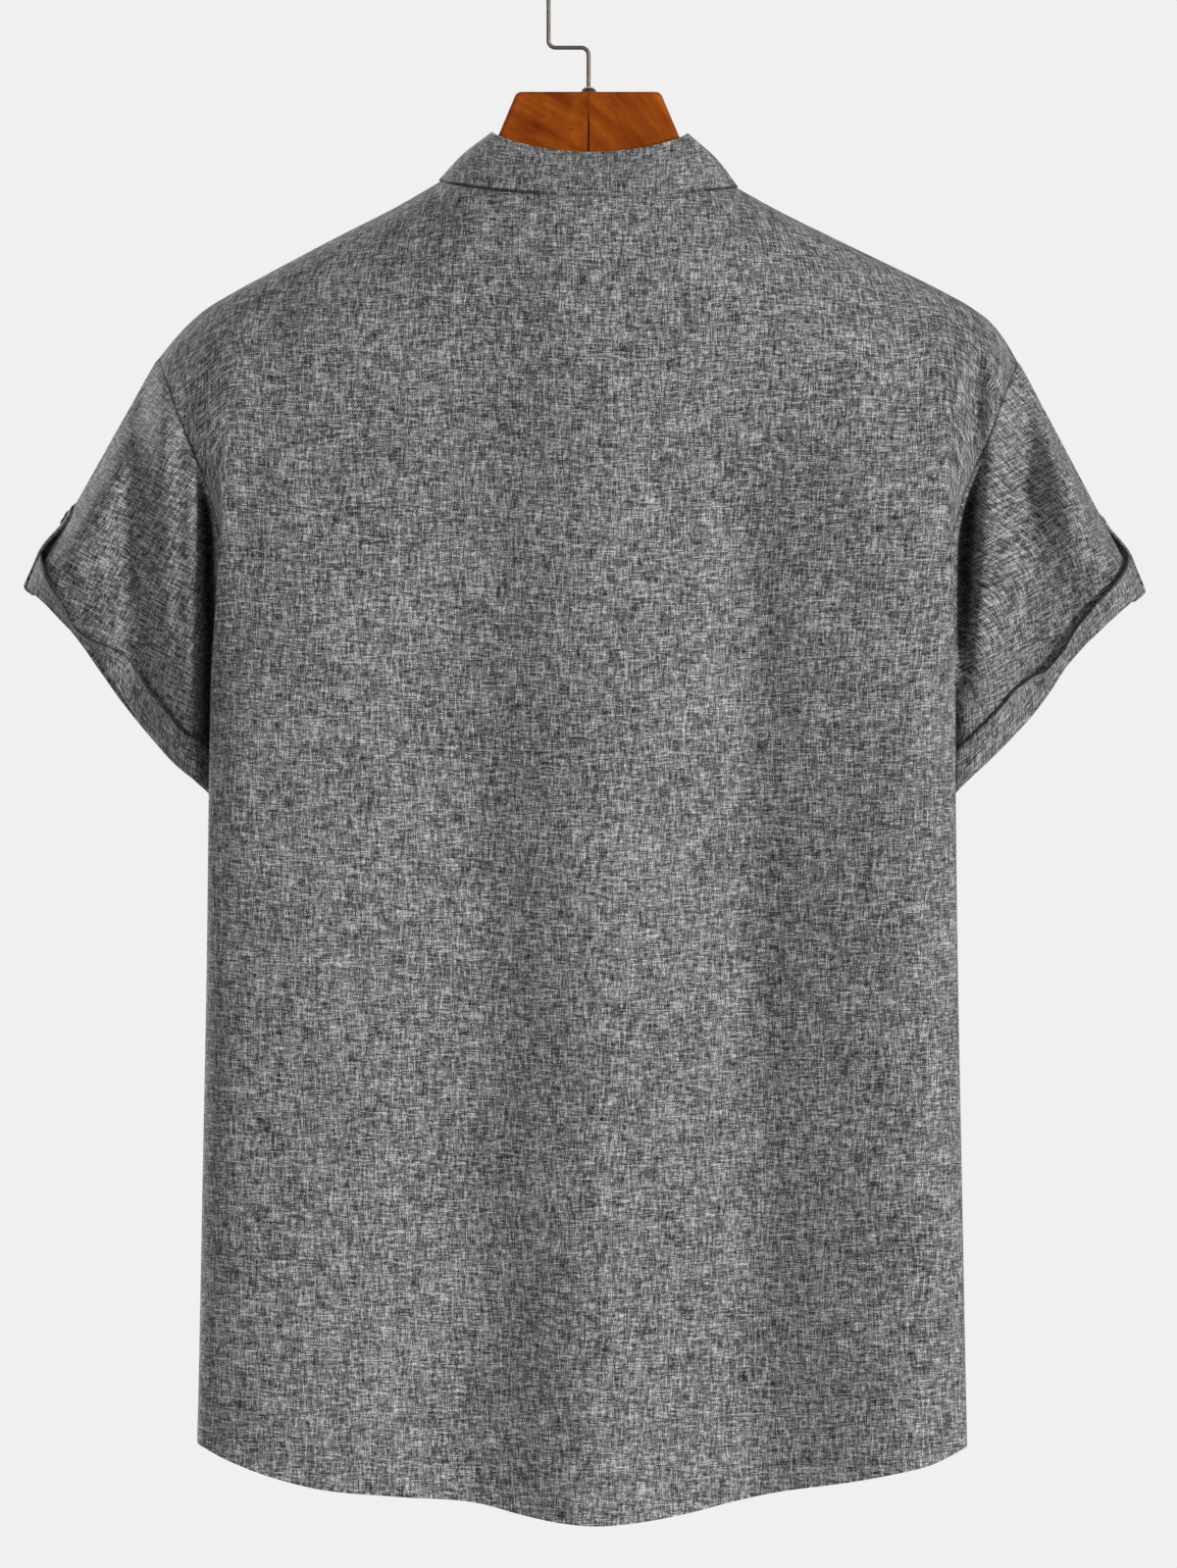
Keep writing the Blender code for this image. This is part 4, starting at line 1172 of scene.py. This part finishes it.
def turned(name, profile, steps, merge):
    """A profile of radius and height, turned round the upright axis."""
    mesh = bmesh.new()
    verts = [mesh.verts.new((r, 0, z)) for r, z in profile]
    edges = [mesh.edges.new(pair) for pair in zip(verts, verts[1:])]
    bmesh.ops.spin(mesh, geom=verts + edges, cent=(0, 0, 0), axis=(0, 0, 1),
                   angle=2 * math.pi, steps=steps, use_merge=True)
    bmesh.ops.remove_doubles(mesh, verts=mesh.verts, dist=merge)
    bmesh.ops.recalc_face_normals(mesh, faces=mesh.faces)
    return to_data(mesh, name)


def button_mesh(material):
    """A turned disc with a sunk middle and four holes, one unit in radius."""
    profile = ((0.00, -0.20), (0.80, -0.20), (0.95, -0.12), (1.00, 0.02), (0.97, 0.14),
               (0.88, 0.20), (0.74, 0.18), (0.62, 0.07), (0.50, 0.05), (0.00, 0.05))
    disc = turned("disc", profile, 40, 1e-5)
    drill = bmesh.new()
    for x, y in ((0.2, 0.2), (-0.2, 0.2), (-0.2, -0.2), (0.2, -0.2)):
        bmesh.ops.create_cone(drill, cap_ends=True, segments=16, radius1=0.10, radius2=0.10,
                              depth=1.2, matrix=Matrix.Translation((x, y, 0)))
    blank, cutter = add("blank", disc), add("cutter", to_data(drill, "holes"))
    cut = blank.modifiers.new("holes", "BOOLEAN")
    cut.object = cutter
    cut.solver = "EXACT"
    graph = bpy.context.evaluated_depsgraph_get()
    made = bpy.data.meshes.new_from_object(blank.evaluated_get(graph))
    for thing in (blank, cutter):
        bpy.data.objects.remove(thing, do_unlink=True)
    made.shade_smooth()
    made.set_sharp_from_angle(angle=math.radians(40))
    made.materials.clear()
    made.materials.append(material)
    return made


def place_button(name, node, template, place, normal, radius, thread, spin=0.0):
    lift = LAYER_GAP + 0.2 * radius
    turn = Vector(normal).to_track_quat("Z", "Y").to_matrix().to_4x4()
    frame = Matrix.Translation(Vector(place) + Vector(normal) * lift) @ turn
    frame = frame @ Matrix.Rotation(spin, 4, "Z")
    data = template.copy()
    data.transform(frame @ Matrix.Diagonal((radius, radius, radius, 1)))
    dress(add(name, data), node, slot="button")
    places = []
    for y in (-0.2, 0.2):
        for strand in (-0.035, 0.035):
            middle = frame @ Vector((0, (y + strand) * radius, 0.12 * radius))
            way = (frame.to_3x3() @ Vector((1, 0, 0))).normalized()
            out = (frame.to_3x3() @ Vector((0, 0, 1))).normalized()
            places.append((np.array(middle), np.array(way), np.array(out), 0.52 * radius))
    dress(sew(f"{name}_thread", places, thread, 0.00016))


def build_buttons(placket, facing, template, thread):
    neck = front_point(LEFT, 0, 2)[2]
    for number in range(PLACKET_BUTTONS):
        height = neck - FIRST_BUTTON - number * BUTTON_SPACING
        line = placket[:, MIDDLE]
        place = between(height, line[:, 2], line)
        normal = unit(between(height, line[:, 2], facing[:, MIDDLE]))
        place_button(f"front_button_{number + 1}", f"button_{number + 1}", template, place, normal,
                     BUTTON_RADIUS, thread, 0.2 * number)
        build_buttonhole(f"buttonhole_{number + 1}", place, normal, np.array([0, 0, 1.0]),
                         BUTTONHOLE_HALF, thread)


def build_buttonhole(name, place, normal, way, half, thread):
    """Close bars of thread round a slit that lies under the button and shows beyond it."""
    along = unit(way - normal * np.dot(way, normal))
    aside = unit(np.cross(normal, along))
    places = []
    for s in np.arange(-half, half + 1e-6, 0.00042):
        for lane in (-1, 1):
            middle = place + along * s + aside * lane * 0.00062
            places.append((middle, aside, normal, 0.0011))
    for end in (-1, 1):
        for k in range(3):
            middle = place + along * end * (half + 0.0003 + 0.0003 * k)
            places.append((middle, aside, normal, 0.0024))
    dress(sew(name, places, thread, 0.00020))


# ---- tabs ---------------------------------------------------------------------------------------
TAB_WALL = 0.0012
TAB_INSIDE = 0.015
TAB_RING = 0.40           # length of one turn round the sleeve
TAB_POINT = 0.010         # length of its pointed end
TAB_BUTTON = TAB_LENGTH - 0.012
TAB_STITCH = 0.0019
TAB_SHIFT = {LEFT: 0.0, RIGHT: 0.014}


def tab_out(up):
    """How far the tab's outer side lies off the sleeve: over the band, then down to the sleeve."""
    over_band = LAYER_GAP + BAND + 0.0020 * np.clip(up / 0.020, 0, 1)**1.3 + LAYER_GAP + TAB_WALL
    flat = LAYER_GAP + TAB_WALL
    return over_band + (flat - over_band) * smooth_step(0.022, TAB_BUTTON, up)


def build_tab(name, side, cloth, thread):
    columns = np.array((1, 0.93, 0.85, 0.77, 0.6, 0.3, 0, -0.3, -0.6, -0.77, -0.85, -0.93, -1.0))
    inside = -(CLOTH + LAYER_GAP + BAND + LAYER_GAP + TAB_WALL)
    outside = float(tab_out(0.0))
    radius, centre = (outside - inside) / 2, (outside + inside) / 2
    path = [(up, inside) for up in np.linspace(TAB_INSIDE, FOLD_LIFT, 6)[:-1]]
    path += [(FOLD_LIFT - radius * math.sin(a), centre - radius * math.cos(a))
             for a in np.linspace(0, math.pi, 11)]
    path += [(up, float(tab_out(up))) for up in
             np.concatenate((np.linspace(FOLD_LIFT, TAB_LENGTH - TAB_POINT, 22)[1:],
                             np.linspace(TAB_LENGTH - TAB_POINT, TAB_LENGTH, 9)[1:]))]
    rows = []
    for up, out in path:
        taper = 1 - 0.96 * np.clip((up - TAB_LENGTH + TAB_POINT) / TAB_POINT, 0, 1)
        turns = TAB_TURN + TAB_SHIFT[side] - TAB_WIDTH / 2 * taper * columns / TAB_RING
        rows.append(on_sleeve(side, turns, np.full(13, up), np.full(13, out)))
    grid = np.array(rows)
    normals = grid_normals(grid, False, side == LEFT)
    for edge in ("start", "end"):
        grid = groove(grid, normals, edge, TAB_STITCH)
    cut = np.stack(np.meshgrid(columns * TAB_WIDTH / 2, spans(grid, 0)[:, MIDDLE]), axis=2)
    piece = shell(f"strap_{name}", grid, normals, TAB_WALL, cut + TAB_CUT, cloth, False,
                  ("head", "foot"))
    dress(piece, f"tab_{name}", cloth=(0.022, 0.074, 0.00150))
    places = []
    for edge in ("start", "end"):
        points, way = line_at(grid[:-8], normals[:-8], edge, TAB_STITCH)
        places += stitch_places(points, way)
    dress(sew(f"strap_stitches_{name}", places, thread))
    spot = np.argmin([abs(up - TAB_BUTTON) for up, _ in path])
    return grid[spot, MIDDLE], normals[spot, MIDDLE], grid[spot + 1, MIDDLE] - grid[spot - 1, MIDDLE]


# ---- hanger -------------------------------------------------------------------------------------
HANGER_EDGE = 0.0028


def build_hanger_half(name, side, wood):
    outline = [((x or -0.008) * side, 0, z) for x, z in HANGER_OUTLINE]
    mesh = bmesh.new()
    mesh.faces.new([mesh.verts.new(point) for point in outline])
    half = add("outline", to_data(mesh, "outline"))
    board = half.modifiers.new("board", "SOLIDIFY")
    board.thickness = HANGER_THICK
    board.offset = 0
    edge = half.modifiers.new("edge", "BEVEL")
    edge.width = HANGER_EDGE
    edge.segments = 7
    edge.limit_method = "ANGLE"
    edge.angle_limit = math.radians(40)
    graph = bpy.context.evaluated_depsgraph_get()
    solid = bpy.data.meshes.new_from_object(half.evaluated_get(graph))
    bpy.data.objects.remove(half, do_unlink=True)
    cut = bmesh.new()
    cut.from_mesh(solid)
    bmesh.ops.bisect_plane(cut, geom=[*cut.verts, *cut.edges, *cut.faces], clear_inner=True,
                           plane_co=(-0.00001 * side, 0, 0), plane_no=(side, 0, 0))
    bmesh.ops.holes_fill(cut, edges=[edge for edge in cut.edges if edge.is_boundary])
    bmesh.ops.recalc_face_normals(cut, faces=cut.faces)
    cut.to_mesh(solid)
    cut.free()
    piece = show(f"wood_{name}", solid, wood, 30)
    dress(piece, f"hanger_{name}", slot="wood")


def wire_route():
    foot = HANGER_OUTLINE[0][1] + 2 * LAYER_GAP + WASHER_HEIGHT
    crown = WIRE_RADIUS - HOOK_RADIUS
    bend = [(math.cos(a), math.sin(a)) for a in np.linspace(0, math.pi / 2, 12)]
    route = [(0, z) for z in np.linspace(foot, HOOK_STEP - HOOK_BEND, 8)[:-1]]
    route += [(HOOK_BEND * (1 - c), HOOK_STEP - HOOK_BEND * (1 - s)) for c, s in bend]
    route += [(HOOK_RADIUS - HOOK_BEND * (1 - s), HOOK_STEP + HOOK_BEND * (1 - c))
              for c, s in bend]
    route += [(HOOK_RADIUS * math.cos(a), crown + HOOK_RADIUS * math.sin(a))
              for a in np.linspace(0, math.pi + HOOK_TAIL, 72)]
    return route


def build_hook(metal):
    """Round wire with a rounded tip."""
    route = np.array([(x, 0, z) for x, z in wire_route()])
    ways = unit(np.gradient(route, axis=0))
    tip, way = route[-1], ways[-1]
    sizes = [1.0] * len(route)
    for angle in (0.5, 0.9, 1.25, 1.5):
        route = np.vstack((route, tip + way * WIRE_RADIUS * math.sin(angle)))
        ways = np.vstack((ways, way))
        sizes.append(max(math.cos(angle), 0.08))
    aside = np.array([0, 1.0, 0])
    rows = []
    for point, along, size in zip(route, ways, sizes):
        other = np.cross(along, aside)
        rows.append([point + WIRE_RADIUS * size * (aside * math.cos(a) + other * math.sin(a))
                     for a in np.linspace(0, 2 * math.pi, 16, endpoint=False)])
    verts = np.array(rows).reshape(-1, 3)
    faces = [[i * 16 + k, i * 16 + (k + 1) % 16, (i + 1) * 16 + (k + 1) % 16, (i + 1) * 16 + k]
             for i in range(len(rows) - 1) for k in range(16)]
    faces += [list(range(16))[::-1], [(len(rows) - 1) * 16 + k for k in range(16)]]
    mesh = bpy.data.meshes.new("wire")
    mesh.from_pydata(verts.tolist(), [], faces)
    fix = bmesh.new()
    fix.from_mesh(mesh)
    bmesh.ops.recalc_face_normals(fix, faces=fix.faces)
    fix.to_mesh(mesh)
    fix.free()
    dress(show("wire", mesh, metal, 60), "hook", slot="metal")


def build_washer(metal):
    """A small turned ferrule, flared at its foot."""
    top = HANGER_OUTLINE[0][1] + LAYER_GAP
    profile = ((0.0, 0.0), (0.0042, 0.0), (0.0043, 0.0004), (0.0041, 0.0008), (0.0034, 0.0012),
               (0.0029, 0.0017), (0.0026, 0.0021), (0.0022, WASHER_HEIGHT), (0.0, WASHER_HEIGHT))
    made = turned("ferrule", [(r, top + z) for r, z in profile], 36, 1e-6)
    dress(show("ferrule", made, metal, 40), "washer", slot="metal")


# ---- materials ----------------------------------------------------------------------------------
class Nodes:
    """Short names for laying out a material's nodes."""

    def __init__(self, name):
        self.made = bpy.data.materials.new(name)
        self.made.use_nodes = True
        self.tree = self.made.node_tree
        self.shader = self.tree.nodes["Principled BSDF"]

    def feed(self, socket, value):
        if isinstance(value, bpy.types.NodeSocket):
            self.tree.links.new(value, socket)
        else:
            socket.default_value = value

    def put(self, kind, inputs=(), **settings):
        node = self.tree.nodes.new("ShaderNode" + kind)
        for key, value in settings.items():
            setattr(node, key, value)
        for key, value in dict(inputs).items():
            self.feed(node.inputs[key], value)
        return node.outputs

    def finish(self, inputs):
        """The material, with these on its shader's own sockets."""
        for key, value in inputs.items():
            self.feed(self.shader.inputs[key], value)
        return self.made

    def place(self):
        return self.put("TexCoord")["Object"]

    def math(self, operation, a, b=0.0):
        return self.put("Math", {0: a, 1: b}, operation=operation)[0]

    def add(self, a, b):
        return self.math("ADD", a, b)

    def times(self, a, b):
        return self.math("MULTIPLY", a, b)

    def scaled(self, vector, factors):
        return self.put("VectorMath", {0: vector, 1: factors}, operation="MULTIPLY")[0]

    def noise(self, vector, scale, detail=2.0, rough=0.5):
        return self.put("TexNoise", {"Vector": vector, "Scale": scale, "Detail": detail,
                                     "Roughness": rough})["Fac"]

    def joined(self, x, y, z=0.0):
        return self.put("CombineXYZ", {0: x, 1: y, 2: z})[0]

    def spread(self, value, low, high, to_low=0.0, to_high=1.0):
        return self.put("MapRange", {"Value": value, "From Min": low, "From Max": high,
                                     "To Min": to_low, "To Max": to_high})[0]

    def ramp(self, value, stops):
        colours = self.put("ValToRGB", {"Fac": value})["Color"]
        elements = colours.node.color_ramp.elements
        while len(elements) < len(stops):
            elements.new(0.5)
        for element, (position, colour) in zip(elements, stops):
            element.position = position
            element.color = (*colour, 1)
        return colours

    def mix(self, share, a, b):
        return self.put("Mix", {0: share, 6: a, 7: b}, data_type="RGBA")[2]

    def bumps(self, height, strength, distance):
        return self.put("Bump", {"Height": height, "Strength": strength,
                                 "Distance": distance})[0]


CLOTH_TONES = (
    (0.377, (0.006, 0.007, 0.009)),
    (0.4385, (0.055, 0.057, 0.062)),
    (0.500, (0.165, 0.168, 0.174)),
    (0.5615, (0.360, 0.363, 0.366)),
    (0.623, (0.680, 0.680, 0.670)),
)


def melange_cloth():
    """Plain weave of mottled grey yarns: each yarn has its own tone, which drifts along it. The seam
    attribute paints shade into the seams and along the free edges of bands.
    """
    n = Nodes("melange_cloth")
    u, v, _ = n.put("SeparateXYZ", {0: n.put("UVMap", uv_map="weave")[0]})
    warp_at, weft_at = n.math("DIVIDE", u, PITCH), n.math("DIVIDE", v, PITCH)
    warp, weft = n.math("FLOOR", warp_at), n.math("FLOOR", weft_at)

    def tone(along, yarn, seed):
        slow, quick = (n.noise(n.joined(n.math("DIVIDE", along, length), n.times(yarn, step), at),
                               1.0, 1.0)
                       for length, step, at in ((0.0085, 7.37, seed), (0.0021, 5.13, seed + 9.0)))
        return n.add(n.times(slow, 0.62), n.times(quick, 0.38))

    def round_yarn(at):
        return n.math("SINE", n.times(n.math("FRACT", at), math.pi))

    warp_tone, weft_tone = tone(v, warp, 3.0), tone(u, weft, 41.0)
    over = n.add(n.times(n.math("PINGPONG", n.add(warp, weft), 1.0), 0.70), 0.15)
    mixed = n.add(n.times(warp_tone, n.math("SUBTRACT", 1.0, over)), n.times(weft_tone, over))
    body = n.times(round_yarn(warp_at), round_yarn(weft_at))
    broad = n.noise(n.joined(u, v, 0.0), 9.0, 2.0)
    # Painted shade: each yarn is a little darker towards its edges, where the threads cross.
    shaded = n.add(mixed, n.times(n.math("SUBTRACT", body, 0.4), 0.05))
    shaded = n.add(shaded, n.times(n.math("SUBTRACT", broad, 0.5), 0.04))
    # Painted shade: the seam attribute pulls the colour towards near black beside seams and free
    # edges, in place of the shadow that falls there.
    seam = n.put("Attribute", attribute_name="seam")["Fac"]
    line = n.times(n.math("POWER", seam, 6.0), 0.85)
    return n.finish({
        "Base Color": n.mix(line, n.ramp(shaded, CLOTH_TONES), (0.014, 0.014, 0.016, 1)),
        "Roughness": n.spread(mixed, 0.3, 0.7, 0.78, 0.92),
        "Normal": n.bumps(n.add(n.times(body, 0.7), n.times(mixed, 0.6)), 0.55, 0.00018),
        "Specular IOR Level": 0.25, "Sheen Weight": 0.12, "Sheen Roughness": 0.5})


def sewing_thread():
    n = Nodes("sewing_thread")
    twist = n.noise(n.place(), 900.0, 2.0)
    return n.finish({
        "Base Color": n.ramp(twist, ((0.30, (0.075, 0.077, 0.082)), (0.50, (0.150, 0.152, 0.158)),
                                     (0.70, (0.240, 0.242, 0.245)))),
        "Normal": n.bumps(twist, 0.5, 0.0001), "Roughness": 0.65})


def button_resin():
    """Grey resin with faint paler clouds, polished, a little uneven in its gloss."""
    n = Nodes("button_resin")
    place = n.place()
    clouds = n.noise(n.scaled(place, (1.0, 1.0, 3.0)), 260.0, 3.0, 0.6)
    fine = n.noise(place, 2600.0, 2.0)
    return n.finish({
        "Base Color": n.ramp(clouds, ((0.30, (0.030, 0.031, 0.034)), (0.52, (0.060, 0.062, 0.066)),
                                      (0.72, (0.130, 0.132, 0.136)))),
        "Roughness": n.spread(fine, 0.3, 0.7, 0.22, 0.38),
        "Normal": n.bumps(fine, 0.08, 0.0001), "Coat Weight": 0.3})


def varnished_wood(name, slope, figure):
    """Red-brown varnished wood, its grain along the arm, with a dark glue line at the joint."""
    n = Nodes(name)
    place = n.place()
    turned_to = n.put("VectorRotate", {"Vector": place, "Angle": slope},
                      rotation_type="Y_AXIS")[0]
    stretched = n.scaled(turned_to, (22.0, 90.0, 150.0))
    bend = n.noise(turned_to, 30.0, 2.0)
    grain = n.noise(n.put("VectorMath", {0: stretched, 1: n.joined(bend, bend, bend)},
                          operation="ADD")[0], 1.0, 5.0, 0.62)
    pores = n.noise(n.scaled(turned_to, (160.0, 900.0, 1300.0)), 1.0, 2.0, 0.6)
    blotches = n.noise(place, 42.0, 3.0)
    tone = n.add(n.times(grain, figure), n.times(blotches, 1.0 - figure))
    colour = n.ramp(tone, ((0.50 - 0.36 * figure, (0.122, 0.020, 0.005)),
                           (0.50 - 0.10 * figure, (0.270, 0.052, 0.006)),
                           (0.50 + 0.10 * figure, (0.370, 0.081, 0.007)),
                           (0.50 + 0.36 * figure, (0.560, 0.160, 0.012))))
    colour = n.mix(n.spread(pores, 0.62, 0.74, 0.0, 0.65), colour, (0.045, 0.010, 0.003, 1))
    x, _, z = n.put("SeparateXYZ", {0: place})
    glue = n.times(n.spread(n.math("ABSOLUTE", x), 0.0003, 0.0008, 1.0, 0.0),
                   n.spread(z, -0.088, -0.096, 0.25, 0.95))
    return n.finish({
        "Base Color": n.mix(glue, colour, (0.018, 0.006, 0.003, 1)),
        "Roughness": n.spread(grain, 0.3, 0.7, 0.44, 0.56),
        "Normal": n.bumps(n.add(grain, n.times(pores, -0.4)), 0.12, 0.0004),
        "Coat Weight": 0.06, "Coat Roughness": 0.35, "Specular IOR Level": 0.0})


def satin_nickel(name, roughness):
    n = Nodes(name)
    place = n.place()
    drawn = n.noise(n.scaled(place, (1400.0, 1400.0, 160.0)), 1.0, 2.0)
    return n.finish({
        "Base Color": n.ramp(n.noise(place, 120.0, 2.0), ((0.3, (0.17, 0.135, 0.112)),
                                                          (0.7, (0.25, 0.210, 0.180)))),
        "Roughness": n.spread(drawn, 0.3, 0.7, roughness, roughness + 0.14),
        "Normal": n.bumps(drawn, 0.1, 0.0001), "Metallic": 1.0})


# ---- surroundings -------------------------------------------------------------------------------
def light(name, kind, strength, source, place=(0, 0, 0), **settings):
    """A lamp whose light comes from the direction of source."""
    data = bpy.data.lights.new(name, kind)
    data.energy = strength
    for key, value in settings.items():
        setattr(data, key, value)
    lamp = add(name, data)
    lamp.location = place
    lamp.rotation_euler = (-Vector(source)).to_track_quat("-Z", "Y").to_euler()


def light_studio():
    world = bpy.data.worlds.new("studio")
    bpy.context.scene.world = world
    world.use_nodes = True
    tree = world.node_tree
    tree.nodes.clear()
    seen, around = (tree.nodes.new("ShaderNodeBackground") for _ in range(2))
    seen.inputs[0].default_value = (0.871, 0.871, 0.871, 1)
    around.inputs[0].default_value = (1, 1, 1, 1)
    around.inputs[1].default_value = 0.30
    path, mix = tree.nodes.new("ShaderNodeLightPath"), tree.nodes.new("ShaderNodeMixShader")
    end = tree.nodes.new("ShaderNodeOutputWorld")
    tree.links.new(path.outputs["Is Camera Ray"], mix.inputs[0])
    tree.links.new(around.outputs[0], mix.inputs[1])
    tree.links.new(seen.outputs[0], mix.inputs[2])
    tree.links.new(mix.outputs[0], end.inputs[0])
    light("key", "SUN", 2.26, (-1.00, 1.00, 0.20), angle=math.radians(12))
    light("front_key", "SUN", 2.3, (0.95, -1.10, 0.45), angle=math.radians(22))
    place = (2.6, 4.2, 0.2)
    light("fill", "AREA", 8, Vector(place) - Vector((0, 0, -0.45)), place, shape="DISK", size=2.6)


def lay_floor():
    """A pale round floor that thins out to its edge."""
    mesh = bmesh.new()
    bmesh.ops.create_circle(mesh, cap_ends=True, segments=96, radius=2.4,
                            matrix=Matrix.Translation((0, 0, -1.10)))
    n = Nodes("pale_floor")
    place = n.place()
    x, y, _ = n.put("SeparateXYZ", {0: place})
    away = n.put("VectorMath", {0: n.joined(x, y)}, operation="LENGTH")["Value"]
    n.finish({"Base Color": n.ramp(n.noise(place, 60.0, 3.0), ((0.3, (0.78, 0.78, 0.78)),
                                                               (0.7, (0.83, 0.83, 0.83)))),
              "Roughness": 0.9})
    mixed = n.put("MixShader", {0: n.spread(away, 1.0, 2.35, 0.0, 1.0),
                                1: n.shader.outputs[0], 2: n.put("BsdfTransparent")[0]})
    n.tree.links.new(mixed[0], n.tree.nodes["Material Output"].inputs[0])
    made = to_data(mesh, "floor")
    made.materials.append(n.made)
    add("floor", made)


def main():
    bpy.context.scene.view_settings.view_transform = "Standard"
    make_camera()
    cloth, thread = melange_cloth(), sewing_thread()
    panels, normals = build_body(cloth, thread)
    build_collar(cloth, thread)
    build_cuffs(cloth, thread)
    placket, facing = build_placket(panels, normals, cloth, thread)
    template = button_mesh(button_resin())
    build_buttons(placket, facing, template, thread)
    collar = collar_grid()
    base, middle, edge = collar[:, -3]
    normal = unit(np.cross(edge - base, collar[1, -1] - collar[1, -4]))
    place_button("neck_button", "button_collar", template, middle + normal * COLLAR_STAND, normal,
                 BUTTON_RADIUS, thread)
    for name, side in (("left", LEFT), ("right", RIGHT)):
        spot, out, way = build_tab(name, side, cloth, thread)
        build_buttonhole(f"strap_hole_{name}", spot, out, way, TAB_HOLE_HALF, thread)
        place_button(f"strap_button_{name}", f"tab_button_{name}", template, spot, out,
                     TAB_BUTTON_RADIUS, thread)
    build_hanger_half("left", LEFT, varnished_wood("wood_plain", 0.50, 0.45))
    build_hanger_half("right", RIGHT, varnished_wood("wood_figured", 0.85, 0.75))
    build_washer(satin_nickel("ferrule_nickel", 0.30))
    build_hook(satin_nickel("wire_nickel", 0.42))
    light_studio()
    lay_floor()


main()
